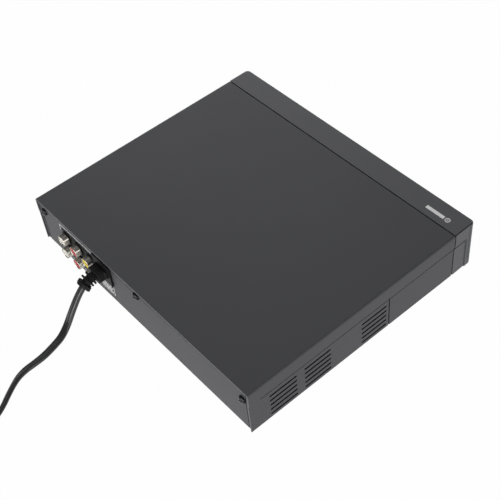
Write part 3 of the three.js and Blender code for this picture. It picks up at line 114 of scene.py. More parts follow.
scene.world = bpy.data.worlds.new("room")
tree = bare_tree(scene.world)
rays = add_node(tree, "LightPath").outputs
dim = add_node(tree, "Background", {"Color": colour(ROOM.colour), "Strength": ROOM.strength}).outputs[0]
bright = add_node(tree, "Background", {"Color": colour(WHITE), "Strength": 1.0}).outputs[0]
mixed = add_node(tree, "MixShader", {0: rays["Is Camera Ray"], 1: dim, 2: bright}).outputs[0]
add_node(tree, "OutputWorld", {"Surface": mixed})

# Softboxes as (name, place, width and height, watts), all aimed at the player. The wide ones light the left
# side and the rear evenly from far off, and a low one beyond the front gives the cover its sheen.
SOFTBOXES = [
    ("left softbox", (-2700, 300, 740), (2600, 1200), 41.0),
    ("rear softbox", (-450, 3060, 740), (2600, 1200), 80.0),
    ("top softbox", (300, -500, 1900), (1400, 1400), 4.6),
    ("far softbox", (1600, -1100, 900), (1600, 900), 13.0),
]
AIM = (0, 0, 20)
for name, place, size, watts in SOFTBOXES:
    lamp = bpy.data.lights.new(name, "AREA")
    lamp.shape, lamp.energy = "RECTANGLE", watts
    lamp.size, lamp.size_y = mm(*size)
    holder = bpy.data.objects.new(name, lamp)
    holder.location = mm(*place)
    holder.rotation_euler = (mm(*AIM) - mm(*place)).to_track_quat("-Z", "Y").to_euler()
    scene.collection.objects.link(holder)

# The mains cord: flat twin cord, two stranded copper cores side by side in one black vinyl jacket.
# It leaves the plug, drops to the table and runs out of the picture, where the rest lies in a coil.
CORD = Sizes(width=5.4, height=3.4, step=1.6, lobe_points=9, level=1.9, tail=34.0)
COIL = Sizes(centre=(43.0, 245.0), level=3.0, outer=42.5, inner=22.4, turns=6.5, layer=4.1, steps=96)
CORD_EXIT = (35.5, 111.41, 26.87)
CORD_ROUTE = [
    CORD_EXIT, (35.7, 113.6, 24.6), (35.9, 117.2, 20.3), (35.7, 120.9, 15.8), (35.1, 125.3, 10.6),
    (34.0, 129.6, 6.2), (32.4, 134.0, 3.4), (30.4, 138.8, 2.1), (28.5, 144.6, CORD.level),
    (26.8, 150.6, CORD.level), (25.6, 156.6, CORD.level), (25.0, 163.0, CORD.level),
    (24.6, 169.2, CORD.level), (22.9, 175.6, CORD.level), (19.4, 182.2, CORD.level),
    (15.1, 188.8, CORD.level), (10.6, 195.2, CORD.level), (6.9, 202.0, CORD.level),
    (4.2, 209.5, CORD.level), (2.2, 218.0, CORD.level + 0.2),
    (1.0, 226.0, (CORD.level + COIL.level) / 2), (0.5, 233.0, COIL.level - 0.2),
]
# Its flat side turns away from level and back along the table, as (mm along the cord, degrees).
CORD_ROLL = ((0, 0), (30, 0), (52, 6), (66, 16), (86, 52), (108, 56), (128, 0))


def coil_points():
    """Two layers of turns that spiral in below and out above, from the lead-in to the straight tail."""
    points, half = [], COIL.turns / 2
    count = round(COIL.turns * COIL.steps)
    for i in range(count + 1):
        turn = COIL.turns * i / count
        radius = COIL.inner + (COIL.outer - COIL.inner) * abs(turn - half) / half
        climb = min(max((turn - half) / 0.5 + 0.5, 0.0), 1.0)
        angle = math.pi - 2 * math.pi * turn
        x, y = COIL.centre[0] + radius * math.cos(angle), COIL.centre[1] + radius * math.sin(angle)
        points.append(mm(x, y, COIL.level + climb * COIL.layer))
    return points


def smooth_line(points, step):
    """Points about one step apart on a centripetal curve through the given ones."""
    line = []
    padded = [2 * points[0] - points[1], *points, 2 * points[-1] - points[-2]]
    for four in zip(padded, padded[1:], padded[2:], padded[3:]):
        pairs, knots = list(zip(four, four[1:])), [0.0]
        for p, q in pairs:
            knots.append(knots[-1] + max((q - p).length, 1e-9) ** 0.5)
        pieces = max(1, round((four[2] - four[1]).length / step))
        for i in range(pieces):
            t = knots[1] + (knots[2] - knots[1]) * i / pieces
            near = [p.lerp(q, (t - knots[k]) / (knots[k + 1] - knots[k])) for k, (p, q) in enumerate(pairs)]
            wide = [near[k].lerp(near[k + 1], (t - knots[k]) / (knots[k + 2] - knots[k])) for k in (0, 1)]
            line.append(wide[0].lerp(wide[1], (t - knots[1]) / (knots[2] - knots[1])))
    return line + [points[-1]]


def twin_section():
    """Outline of the twin cord: two round lobes that meet in a groove on each side."""
    radius = CORD.height / 2
    offset = CORD.width / 2 - radius
    meet = math.acos(-offset / radius)
    angles = [meet * (2 * i / CORD.lobe_points - 1) for i in range(CORD.lobe_points)]
    return [
        (side * (offset + radius * math.cos(angle)), side * radius * math.sin(angle))
        for side in (1, -1)
        for angle in angles
    ]


def rolls(line):
    """How far the cord's flat side is turned at each point of a line, in radians."""
    turns, distance = [], 0.0
    for i, point in enumerate(line):
        distance += (point - line[i - 1]).length if i else 0.0
        turns.append(0.0)
        for (start, turn), (end, next_turn) in zip(CORD_ROLL, CORD_ROLL[1:]):
            if mm(start) <= distance < mm(end):
                share = (distance - mm(start)) / mm(end - start)
                turns[-1] = math.radians(turn + (next_turn - turn) * share * share * (3 - 2 * share))
    return turns


def sweep(name, line, section):
    """A closed tube: the section follows the line, level but for its roll."""
    corners, count, last = [], len(section), len(line) - 1
    for i, (point, turn) in enumerate(zip(line, rolls(line))):
        along = (line[min(i + 1, last)] - line[max(i - 1, 0)]).normalized()
        across = along.cross(Vector((0, 0, 1))).normalized()
        up, cosine, sine = across.cross(along), math.cos(turn), math.sin(turn)
        across, up = across * cosine - up * sine, up * cosine + across * sine
        corners += [point + across * mm(a) + up * mm(b) for a, b in section]
    faces = []
    for start in range(0, last * count, count):
        for k in range(count):
            a, b = start + k, start + (k + 1) % count
            faces.append((a, b, b + count, a + count))
    faces += [tuple(reversed(range(count))), tuple(last * count + k for k in range(count))]
    mesh = bpy.data.meshes.new(name)
    mesh.from_pydata([tuple(c) for c in corners], [], faces)
    made = bpy.data.objects.new(name, mesh)
    scene.collection.objects.link(made)
    return made


def only(piece):
    """Selects one piece and makes it the active one."""
    bpy.ops.object.select_all(action="DESELECT")
    piece.select_set(True)
    bpy.context.view_layer.objects.active = piece
    return piece


@contextmanager
def editing(piece, everything=True):
    """Edit mode on one piece, with all of it selected or its selection as it is."""
    only(piece)
    bpy.ops.object.mode_set(mode="EDIT")
    if everything:
        bpy.ops.mesh.select_all(action="SELECT")
    yield
    bpy.ops.object.mode_set(mode="OBJECT")


def outward(piece):
    """Merges doubles and turns every face of a closed piece outwards."""
    with editing(piece):
        bpy.ops.mesh.remove_doubles(threshold=1e-6)
        bpy.ops.mesh.normals_make_consistent(inside=False)
    return piece


def smooth(piece, degrees=35):
    """Smooth shading that stops at edges sharper than this."""
    only(piece)
    bpy.ops.object.shade_smooth_by_angle(angle=math.radians(degrees))
    return piece


def surface(name, code, roughness, mottle, grain, metallic=0.0, gloss=0.5, ior=1.5):
    """A finish with its real unevenness: clouds of colour and gloss, and a grain as bump, as (mm, depth)."""
    made = bpy.data.materials.new(name)
    tree = bare_tree(made)
    place = add_node(tree, "TexCoord").outputs["Object"]
    cloud, fine = [
        add_node(tree, "TexNoise", {"Vector": place, "Scale": 1000.0 / size, "Detail": detail}).outputs["Fac"]
        for size, detail in ((mottle[0], 4.0), (grain[0], 3.0))
    ]
    base = colour(code)[:3]
    dark, light = [[min(c * (1 + side * mottle[1]), 1.0) for c in base] + [1.0] for side in (-1, 1)]
    tint = add_node(tree, "Mix", {0: cloud, 6: dark, 7: light}, data_type="RGBA").outputs[2]
    low, high = max(roughness - 0.06, 0.02), min(roughness + 0.06, 1.0)
    rough = add_node(tree, "MapRange", {"Value": cloud, "To Min": low, "To Max": high}).outputs[0]
    bump = add_node(tree, "Bump", {"Height": fine, "Strength": 1.0, "Distance": mm(grain[1])}).outputs[0]
    inputs = {"Base Color": tint, "Roughness": rough, "Metallic": metallic, "Normal": bump}
    if metallic < 1:
        inputs |= {"IOR": ior, "Specular IOR Level": gloss}
    shader = add_node(tree, "BsdfPrincipled", inputs)
    add_node(tree, "OutputMaterial", {"Surface": shader.outputs[0]})
    return made


def hand_over(piece, body, material, slot, *nodes):
    """Gives a finished piece its material and its body, and hides the solids that it stands for. Its slot is
    not used.
    """
    piece.data.materials.clear()
    piece.data.materials.append(material)
    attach(piece, body)
    if nodes:
        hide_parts(*nodes)
    return piece


# Soft vinyl: extruded, so smooth along its length, with a satin shine that shows as one line on each lobe.
vinyl = surface("black vinyl, extruded", "#232324", 0.36, (12, 0.12), (0.8, 0.015))

coil = coil_points()
tail_end = coil[-1] - mm(0, CORD.tail, 0)
cord_line = smooth_line([mm(*point) for point in CORD_ROUTE], mm(CORD.step))
cord_line += [coil[0] - mm(0, CORD.width / 2, 0), *coil]
cord_line += [coil[-1].lerp(tail_end, i / 8) for i in range(1, 9)]
# It is lifted by what its roll needs, so that the lower core still lies on the table.
lift = (CORD.width - CORD.height) / 2
cord_line = [point + mm(0, 0, lift * math.sin(turn)) for point, turn in zip(cord_line, rolls(cord_line))]
mains_cord = smooth(outward(sweep("mains_cord_jacket", cord_line, twin_section())), 50)
hand_over(mains_cord, "lead", vinyl, "cord_jacket", "mains_cord", "cord_coil")

# The appliance plug: soft black vinyl moulded over the cord's end, with ribs and a winged collar that let it
# bend. All its edges are run soft by the mould.
PLUG = Sizes(voxel=0.22, smoothing=5)


def copied(node, name, whole=False):
    """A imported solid's mesh as a new piece, its doubles merged and, if asked, its flat faces made whole."""
    made = bpy.data.objects.new(name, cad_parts[node].data.copy())
    scene.collection.objects.link(made)
    made.data.materials.clear()
    with editing(made):
        bpy.ops.mesh.remove_doubles(threshold=1e-6)
        if whole:
            bpy.ops.mesh.dissolve_limited(angle_limit=math.radians(0.4))
    return made


def apply_modifier(piece, kind, **settings):
    """Adds one modifier, sets it and applies it."""
    only(piece)
    modifier = piece.modifiers.new(kind.lower(), kind)
    for name, value in settings.items():
        setattr(modifier, name, value)
    bpy.ops.object.modifier_apply(modifier=modifier.name)
    return piece


moulded_vinyl = surface("black vinyl, moulded", "#0f0f10", 0.5, (6, 0.10), (0.5, 0.03), gloss=0.22)
plug = copied("mains_plug", "mains_plug_body", whole=True)
apply_modifier(plug, "REMESH", mode="VOXEL", voxel_size=mm(PLUG.voxel))
apply_modifier(plug, "SMOOTH", factor=0.5, iterations=PLUG.smoothing)
hand_over(smooth(plug, 180), "lead", moulded_vinyl, "cord_jacket", "mains_plug")

# The wall plug: the same vinyl over two flat nickel-plated brass blades, with finger ridges on both faces.
# It lies on the table at the end of the coil.
WALL_PLUG = Sizes(width=22.0, height=12.8, front=12.0, shoulder=9.0, nose=5.0, neck=9.0, grip=3.0, gap=0.3)
BLADE = Sizes(length=16.0, width=6.3, thick=1.5, pitch=12.7, hole=1.6, hole_back=3.6)
RIDGE = Sizes(count=4, pitch=2.6, width=1.1, length=12.0, height=0.5)


def around(middle, width):
    """The span of a width about its middle."""
    return middle - width / 2, middle + width / 2


def row(middle, count, pitch):
    """The places of a row of like things about its middle."""
    return [middle + (i - (count - 1) / 2) * pitch for i in range(count)]


def block(name, *spans):
    """A cube primitive that fills its spans along x, y and z, in millimetres."""
    low, high = mm(*map(min, spans)), mm(*map(max, spans))
    bpy.ops.mesh.primitive_cube_add(size=1, location=(low + high) / 2, scale=high - low)
    bpy.ops.object.transform_apply(location=True, rotation=True, scale=True)
    made = bpy.context.object
    made.name = name
    return made


def even(piece, degrees=35):
    """Shades a piece smooth, with its large flat faces kept flat to the eye beside rounded edges."""
    smooth(piece, degrees)
    return apply_modifier(piece, "WEIGHTED_NORMAL", mode="FACE_AREA", weight=100, keep_sharp=True)


def bevelled(piece, width, segments=2, degrees=35):
    """Rounds a piece's sharp edges and shades it smooth."""
    limits = {"limit_method": "ANGLE", "angle_limit": math.radians(degrees), "miter_outer": "MITER_ARC"}
    apply_modifier(piece, "BEVEL", width=mm(width), segments=segments, **limits)
    return even(piece, degrees)


def carve(piece, *cutters, operation="DIFFERENCE"):
    """Cuts other pieces out of a piece, or joins or intersects it with them, and removes them."""
    only(piece)
    if piece.data.has_custom_normals:
        bpy.ops.mesh.customdata_custom_splitnormals_clear()
    for cutter in cutters:
        apply_modifier(piece, "BOOLEAN", object=cutter, operation=operation, solver="EXACT")
        bpy.data.objects.remove(cutter)
    return piece


def gathered(pieces, name):
    """Joins pieces that are one moulding or one set into one object."""
    bpy.ops.object.select_all(action="DESELECT")
    for piece in pieces:
        piece.select_set(True)
    bpy.context.view_layer.objects.active = pieces[0]
    bpy.ops.object.join()
    pieces[0].name = name
    return pieces[0]


def drawn_out(piece, distance, scale):
    """Extrudes a piece's rear face by a distance in millimetres, and scales its new end."""
    mesh, move = piece.data, mm(0, distance, 0)
    level = max(vertex.co.y for vertex in mesh.vertices)
    for item in (*mesh.polygons, *mesh.edges):
        item.select = all(abs(mesh.vertices[v].co.y - level) < 1e-6 for v in item.vertices)
    for vertex in mesh.vertices:
        vertex.select = abs(vertex.co.y - level) < 1e-6
    end = [vertex.co.copy() for vertex in mesh.vertices if vertex.select]
    with editing(piece, everything=False):
        bpy.ops.mesh.select_mode(type="FACE")
        bpy.ops.mesh.extrude_region_move(TRANSFORM_OT_translate={"value": move})
        bpy.ops.transform.resize(value=scale, center_override=sum(end, Vector()) / len(end) + move)
    return piece


plug_end = tail_end / mm(1)
body_back = plug_end.y - WALL_PLUG.gap - WALL_PLUG.nose - WALL_PLUG.shoulder
body_front = body_back - WALL_PLUG.front
body_z = around(plug_end.z, WALL_PLUG.height)
wall_body = block("wall_plug_body", around(plug_end.x, WALL_PLUG.width), (body_front, body_back), body_z)
drawn_out(wall_body, WALL_PLUG.shoulder, (WALL_PLUG.neck / WALL_PLUG.width, 1, 0.62))
drawn_out(wall_body, WALL_PLUG.nose, (0.85, 1, 0.85))
bevelled(wall_body, 1.6, 4, 20)
ridges = []
for i in range(RIDGE.count):
    for level in body_z:
        y = around(body_back - WALL_PLUG.grip - i * RIDGE.pitch, RIDGE.width)
        z = (level - RIDGE.height, level + RIDGE.height / 9)
        ridges.append(bevelled(block("ridge", around(plug_end.x, RIDGE.length), y, z), 0.25))
wall_plug = gathered([wall_body, *ridges], "wall_plug_body")
hand_over(wall_plug, "lead", moulded_vinyl, "cord_jacket", "wall_plug")

# Nickel plate: bright and smooth over stamped brass, a little warm.
nickel = surface("nickel plate on brass", "#c9c4b8", 0.3, (5, 0.08), (0.3, 0.004), metallic=1.0)
blades = []
for x in row(plug_end.x, 2, BLADE.pitch):
    y = (body_front - BLADE.length, body_front + 1.0)
    blade = block("blade", around(x, BLADE.thick), y, around(plug_end.z, BLADE.width))
    place, turn = mm(x, y[0] + BLADE.hole_back, plug_end.z), (0, math.pi / 2, 0)
    bpy.ops.mesh.primitive_cylinder_add(
        vertices=32, radius=mm(BLADE.hole), depth=mm(4 * BLADE.thick), location=place, rotation=turn
    )
    blades.append(bevelled(carve(blade, bpy.context.object), 0.3, 3))
blades = gathered(blades, "wall_plug_blades")
hand_over(blades, "lead", nickel, "nickel")


def dressed(node, name, edge, body, material, slot, segments=2, whole=False, degrees=35):
    """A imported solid's mesh with its edges rounded, handed over in that solid's place."""
    made = bevelled(copied(node, name, whole), edge, segments, degrees)
    return hand_over(made, body, material, slot, node)


# The tie: a short band of black nylon that holds the coil's turns together.
# It is moulded smooth, with a soft shine.
nylon = surface("black nylon", "#151516", 0.4, (30, 0.10), (0.4, 0.01))
band = dressed("cable_tie", "cable_tie_band", 0.25, "lead", nylon, "black_plastic", whole=True)

sum((b - a).length for a, b in zip(cord_line, cord_line[1:]))

# The top cover: 0.8 mm steel sheet folded down at both sides, punched with three groups of air slots a side.
# It hooks under the front moulding and is held by three screws at the rear.
COVER = Sizes(bend=0.22, half=112.5)
STEP_LINE = Sizes(level=29.95, height=0.5, depth=1.25, end=86.0)
HEM = Sizes(out=111.8, wide=2.7, lip=0.8, front=93.3, rear=94.1, end=94.93, low=4.3, high=41.95)
COVER_JOINT = Sizes(y=-21.0, width=0.8, depth=1.35, low=3.0, high=31.0)
SLOT_FIELD = Sizes(low=5.5, high=29.5, inner=110.9, outer=111.88)


def closed(piece, sides=8):
    """Fills the hairline openings that carving leaves where two cuts meet, or with 0 sides any opening."""
    with editing(piece):
        bpy.ops.mesh.fill_holes(sides=sides)
    return piece


def side_block(side, depth, y, z):
    """A block that reaches in by a depth from beyond one side of the case."""
    return block("side", (side * (COVER.half - depth), side * (COVER.half + 1)), y, z)


def within(value, middle, width):
    """Whether a value lies in a groove of this width about its middle."""
    return abs(value - middle) < width / 2 + 0.01


def paint_faces(piece, material, chosen):
    """Gives a second material to the faces whose centre (mm) and normal pass the test."""
    piece.data.materials.append(material)
    for polygon in piece.data.polygons:
        if chosen(polygon.center / mm(1), polygon.normal):
            polygon.material_index = len(piece.data.materials) - 1
    return piece


# Enamel: sprayed over the folded sheet and baked, so evenly matt with a faint orange peel, and a little
# thinner on the sheared edges. The peel is drawn at 1.2 mm, twice its real size, to show.
enamel = surface(
    "black-grey enamel, sprayed and baked", "#3c3c3f", 0.56, (70, 0.035), (1.2, 0.012), gloss=0.42
)
# A painted highlight: a lighter grey for the light line that the cover's rear edge catches.
edge_painted_highlight = surface("enamel on a sheared edge, painted highlight", "#5a5a5d", 0.5, (4, 0.12), (0.6, 0.01))
# Painted shade: a dull near-black on the cover's inner side, the walls of its slots and its two grooves, for
# the shade that falls in them, so they look black against the enamel.
painted_shade_black = surface("near black, painted shade in the cover", "#0b0b0c", 0.75, (12, 0.12), (0.8, 0.02), gloss=0.12)
cover_front, cover_rear = [corner[1] / mm(1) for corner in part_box("top_cover")]
top_cover = bevelled(copied("top_cover", "top_cover_skin"), COVER.bend)
for side in (-1, 1):
    line = (cover_front - 1, STEP_LINE.end), around(STEP_LINE.level, STEP_LINE.height)
    joint = around(COVER_JOINT.y, COVER_JOINT.width), (COVER_JOINT.low, COVER_JOINT.high)
    carve(top_cover, side_block(side, STEP_LINE.depth, *line), side_block(side, COVER_JOINT.depth, *joint))
even(closed(top_cover))
# Its rear edge is folded inward into a narrow hem, which frames the rear panel behind a short lip.
hem = block("hem", (-HEM.out, HEM.out), (HEM.front, HEM.end), (HEM.low, HEM.high))
for wide, start in ((HEM.lip, HEM.rear), (HEM.wide, HEM.front - 1)):
    carve(hem, block("opening", (wide - HEM.out, HEM.out - wide), (start, HEM.end + 1), (0, HEM.high - wide)))
gathered([top_cover, bevelled(hem, COVER.bend)], "top_cover_skin")
hand_over(top_cover, "case", enamel, "painted_steel", "top_cover")
# Paints a highlight: the rear-facing faces along the cover's rear edge and hem get the lighter grey.
paint_faces(top_cover, edge_painted_highlight, lambda centre, normal: normal.y > 0.2 and centre.y > cover_rear - 0.09)


def inside_cover(centre, normal):
    """Whether a face of the cover is on its inner side, in a slot or in one of its grooves, where shade is
    painted.
    """
    if centre.y >= HEM.front - 0.2:
        return False
    if normal.x * centre.x < 0 and abs(normal.x) > 0.5 and abs(centre.x) > SLOT_FIELD.inner - 1:
        return True
    if normal.z < -0.7 and centre.z > SLOT_FIELD.high + 3:
        return True
    grooved = within(centre.z, STEP_LINE.level, STEP_LINE.height)
    grooved = grooved or within(centre.y, COVER_JOINT.y, COVER_JOINT.width)
    slotted = SLOT_FIELD.low < centre.z < SLOT_FIELD.high and abs(normal.x) < 0.4
    return SLOT_FIELD.inner < abs(centre.x) < SLOT_FIELD.outer and (grooved or slotted)


# Paints shade near-black into the cover's slots, its grooves and its inner side.
paint_faces(top_cover, painted_shade_black, inside_cover)

# The rear panel: the same enamelled sheet, set 1 mm in, with cut-outs for the sockets. It is cut a little
# small, so a dark line shows between it and the cover's edge.
PANEL = Sizes(face=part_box("rear_panel")[1][1] / mm(1), half=108.5, top=38.65)
rear_panel = copied("rear_panel", "rear_panel_sheet")
for vertex in rear_panel.data.vertices:
    if abs(vertex.co.x) > mm(PANEL.half):
        vertex.co.x = math.copysign(mm(PANEL.half), vertex.co.x)
    vertex.co.z = min(vertex.co.z, mm(PANEL.top))
hand_over(bevelled(rear_panel, 0.12), "case", enamel, "painted_steel", "rear_panel")

# The panel's print: one screen-printed layer of white ink, with a frame over the sockets, a rule below them
# and a plain field by the inlet.
INK = Sizes(proud=0.05, line=0.55)
SOCKET_FRAME = Sizes(x=(46.2, 86.6), z=(30.2, 36.2))
SOCKET_RULE = Sizes(x=(46.4, 84.5), z=(7.1, 7.65))
FIELD = Sizes(x=(27.5, 43.5), z=(9.4, 18.6), bars=4, inset=1.6, bar=1.1)


def on_face(level):
    """The span of a film of ink that lies on a face."""
    return level + 0.01, level + INK.proud


def ink_bar(x, y, z):
    """A flat printed bar, its edges just broken as wet ink leaves them."""
    return bevelled(block("ink", x, y, z), 0.02, 1)


def ink_frame(x, z, sides="lrtb"):
    """A rectangle of printed lines on the rear panel, or the sides of it that are named."""
    left, right = ((x[1] - INK.line, x[1]), z), ((x[0], x[0] + INK.line), z)
    top, bottom = (x, (z[1] - INK.line, z[1])), (x, (z[0], z[0] + INK.line))
    bars = {"l": left, "r": right, "t": top, "b": bottom}
    return [ink_bar(bars[side][0], on_face(PANEL.face), bars[side][1]) for side in sides]


# Screen ink: a thin matt film of white vinyl ink, slightly uneven where the mesh left it thin.
ink = surface("white vinyl ink, screen-printed", "#dededc", 0.6, (1.2, 0.18), (0.3, 0.01))
prints = ink_frame(FIELD.x, FIELD.z) + ink_frame(SOCKET_FRAME.x, SOCKET_FRAME.z, "lt")
prints.append(ink_bar(SOCKET_RULE.x, on_face(PANEL.face), SOCKET_RULE.z))
for i in range(FIELD.bars):
    z = FIELD.z[0] + (i + 1) * (FIELD.z[1] - FIELD.z[0]) / (FIELD.bars + 1)
    x = (FIELD.x[0] + FIELD.inset * (1 + i % 2), FIELD.x[1] - FIELD.inset)
    prints.append(ink_bar(x, on_face(PANEL.face), around(z, FIELD.bar)))
hand_over(gathered(prints, "rear_print"), "case", ink, "painted_steel")

# The phono sockets: a black moulded housing that carries six drawn sleeves, three over three. Each sleeve is
# rolled over at its mouth and holds a coloured insulator with a hole for the plug's pin.
SLEEVE = Sizes(radius=4.15, inner=3.65, lip=0.3, roll=0.1, root=0.2, sheet=0.49)
INSULATOR = Sizes(radius=3.59, set=0.5, rim=0.2, hole=1.25, mouth=0.35, deep=8.0)
JACK_COLUMNS = (79.3, 65.1, 50.9)
JACK_ROWS = {"lower": 15.0, "upper": 27.2}
JACK_COLOURS = {"white": "#dedad0", "red": "#b0161f", "yellow": "#e2c52a"}
HOUSING_MARK = Sizes(reach=6.1, width=1.5, height=1.7, face=94.3, z=22.1)


def turned(name, rings, centre=(0, 0), vertices=48, degrees=40):
    """A body of revolution about the Y axis: a circle drawn out and resized from ring to ring, (radius, y).
    Its two ends are closed, unless its last ring is its first.
    """
    middle = mm(centre[0], rings[0][1], centre[1])
    bpy.ops.object.select_all(action="DESELECT")
    bpy.ops.mesh.primitive_circle_add(
        vertices=vertices, radius=mm(rings[0][0]), location=middle, rotation=(math.pi / 2, 0, 0)
    )
    bpy.ops.object.transform_apply(location=True, rotation=True, scale=True)
    made = bpy.context.object
    made.name = name
    with editing(made):
        bpy.ops.mesh.select_mode(type="EDGE")
        for (radius, y), (next_radius, next_y) in zip(rings, rings[1:]):
            grow = next_radius / radius
            bpy.ops.mesh.extrude_region_move(TRANSFORM_OT_translate={"value": mm(0, next_y - y, 0)})
            bpy.ops.transform.resize(value=(grow, 1, grow), center_override=mm(centre[0], next_y, centre[1]))
    return smooth(outward(closed(outward(made), 0)), degrees)


def drum(radius, low, high, cut):
    """The rings of a drum between two levels, with both edges taken off."""
    return [(radius - cut, low), (radius, low + cut), (radius, high - cut), (radius - cut, high)]


# Glass-filled polyester: moulded in a spark-eroded tool, so dull black with a fine sandy skin.
polyester = surface("black polyester, moulded", "#0d0d0e", 0.55, (9, 0.10), (0.5, 0.02), gloss=0.2)
# Drawn and nickel-plated: bright, warm and smooth, with faint rings from the drawing die.
sleeve_nickel = surface(
    "nickel plate on drawn steel", "#b2aea5", 0.33, (2.5, 0.10), (0.35, 0.006), metallic=1.0
)
dressed("phono_block", "phono_housing", 0.25, "case", polyester, "black_plastic", whole=True)
shield_back, sleeve_tip = [corner[1] / mm(1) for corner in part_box("phono_sleeves")]
root, roll = shield_back + SLEEVE.root, SLEEVE.roll
rings = [
    (SLEEVE.radius, root), (SLEEVE.radius, sleeve_tip - SLEEVE.lip),
    (SLEEVE.radius - roll, sleeve_tip - roll), ((SLEEVE.radius + SLEEVE.inner) / 2, sleeve_tip),
    (SLEEVE.inner + roll, sleeve_tip - roll), (SLEEVE.inner, sleeve_tip - SLEEVE.lip),
    (SLEEVE.inner, root), (SLEEVE.radius, root),
]
sleeves = [turned("sleeve", rings, (x, z), degrees=50) for x in JACK_COLUMNS for z in JACK_ROWS.values()]
shield, cut = copied("phono_sleeves", "shield", whole=True), mm(0, shield_back + SLEEVE.sheet, 0)
with editing(shield):
    bpy.ops.mesh.bisect(plane_co=cut, plane_no=(0, 1, 0), threshold=1e-6, use_fill=True, clear_outer=True)
sleeves = gathered([*sleeves, shield], "phono_sleeve_set")
hand_over(sleeves, "case", sleeve_nickel, "nickel", "phono_sleeves")

for (shade, code), x in zip(JACK_COLOURS.items(), JACK_COLUMNS):
    # Polypropylene: moulded in one colour for each channel, waxy and a little see-through in light.
    waxy = surface(shade + " polypropylene, moulded", code, 0.38, (3, 0.06), (0.5, 0.012))
    for level, z in JACK_ROWS.items():
        node, tip = f"phono_insulator_{shade}_{level}", sleeve_tip - INSULATOR.set
        rings = [
            (INSULATOR.radius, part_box(node)[0][1] / mm(1)), (INSULATOR.radius, tip - INSULATOR.rim),
            (INSULATOR.radius - INSULATOR.rim, tip), (INSULATOR.hole + INSULATOR.mouth, tip),
            (INSULATOR.hole, tip - 0.3), (INSULATOR.hole, tip - INSULATOR.deep),
        ]
        core = turned(f"insulator_{shade}_{level}", rings, (x, z))
        hand_over(core, "case", waxy, "insulator_" + shade, node)
marks = []
for x in JACK_COLUMNS:
    x, z = around(x - HOUSING_MARK.reach, HOUSING_MARK.width), around(HOUSING_MARK.z, HOUSING_MARK.height)
    marks.append(ink_bar(x, on_face(HOUSING_MARK.face), z))
hand_over(gathered(marks, "phono_marks"), "case", ink, "black_plastic")

# The mains inlet: a flanged black housing snapped into the panel.
# Two round brass pins stand in its recess.
INLET = Sizes(x=35.5, z=30.5, pitch=8.6, pin=1.21, back=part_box("mains_inlet")[1][1] / mm(1) - 1)


def on_pin(centre, normal):
    """Whether a face of the inlet belongs to one of its two pins."""
    away = min(math.hypot(centre.x - x, centre.z - INLET.z) for x in row(INLET.x, 2, INLET.pitch))
    return away < INLET.pin and centre.y < INLET.back


inlet = dressed("mains_inlet", "mains_inlet_housing", 0.2, "case", polyester, "black_plastic", whole=True)
paint_faces(inlet, nickel, on_pin)

# The rear screws: black pan-head screws with a cross recess, pressed from wire, rolled and blackened.
# They go through the cover's hem into the base.
SCREW_PLACES = {"right": (105.0, 34.0), "middle": (-2.3, 35.8), "left": (-106.0, 32.2)}
SCREW = Sizes(radius=2.95, shank=1.4, cross=3.3, slot=0.75, deep=1.0)
# Blackened steel: a thin oxide over a pressed face, so black with a dull metallic sheen and paler edges.
blackened = surface("blackened steel", "#2b2b2d", 0.32, (1.5, 0.25), (0.4, 0.01), metallic=0.7)
for side, place in SCREW_PLACES.items():
    end, tip = [corner[1] / mm(1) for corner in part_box("rear_screw_" + side)]
    seat, radius = PANEL.face + 0.3, SCREW.radius
    rings = [
        (0.5, end), (SCREW.shank, end + 1.0), (SCREW.shank, seat), (radius, seat), (radius, seat + 0.5),
        (radius * 0.93, seat + 1.0), (radius * 0.74, tip - 0.18), (radius * 0.45, tip - 0.03), (0.2, tip),
    ]
    head = turned("pan_head_screw_" + side, rings, place, 36)
    for turn in (35, 125):
        arm = block("arm", around(0, SCREW.cross), (tip - SCREW.deep, tip + 1), around(0, SCREW.slot))
        arm.data.transform(Matrix.Rotation(math.radians(turn), 4, "Y"))
        arm.data.transform(Matrix.Translation(mm(place[0], 0, place[1])))
        carve(head, arm)
    hand_over(smooth(outward(head)), "case", blackened, "nickel", "rear_screw_" + side)

# The base: a folded plate of zinc-plated steel with slots and standoffs, its edges tucked in between the
# cover's walls. Four moulded rubber feet are pressed through it from below.
# Zinc plate: bright and cool, with the frosty patches of its crystals, a few millimetres across.
zinc = surface("zinc-plated steel sheet", "#a9adb0", 0.36, (6, 0.13), (0.7, 0.004), metallic=1.0)
dressed("base_chassis", "base_chassis_sheet", 0.12, "case", zinc, "zinc_steel", whole=True)

# Rubber: compression-moulded, dull black with a bloom of fine grey dust in its grain.
rubber = surface("black rubber, moulded", "#1a1a1b", 0.8, (2.5, 0.22), (0.5, 0.03), gloss=0.3)
FOOT = Sizes(radius=8.0, round=0.8, top=3.7, cup=4.6, cup_depth=1.1, slope=0.5, stem=3.0)


def upright(node):
    """The axis (x, y) of a node that stands, and its lowest and highest level, in millimetres."""
    low, high = (corner / mm(1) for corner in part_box(node))
    return ((low.x + high.x) / 2, (low.y + high.y) / 2), low.z, high.z


def standing(name, rings, place, vertices=48):
    """A body of revolution about an upright axis at a place (x, y), from rings of (radius, z)."""
    made = turned(name, rings, (0, 0), vertices)
    made.data.transform(Matrix.Translation(mm(*place, 0)) @ Matrix.Rotation(math.pi / 2, 4, "X"))
    return made


for place in ("rear_right", "rear_left", "front_right", "front_left"):
    node = "foot_" + place
    at, low, high = upright(node)
    rings = [
        (FOOT.cup - FOOT.slope, FOOT.cup_depth), (FOOT.cup, 0.25), (FOOT.cup + 0.3, 0.0),
        (FOOT.radius - FOOT.round, 0.0), (FOOT.radius - FOOT.round * 0.3, FOOT.round * 0.3),
        (FOOT.radius, FOOT.round), (FOOT.radius - 0.25, FOOT.top - 0.3), (FOOT.radius - 0.55, FOOT.top),
        (FOOT.stem, FOOT.top), (FOOT.stem, high - 0.4), (FOOT.stem - 0.4, high),
    ]
    hand_over(standing(node + "_rubber", rings, at, 64), "case", rubber, "soft_rubber", node)

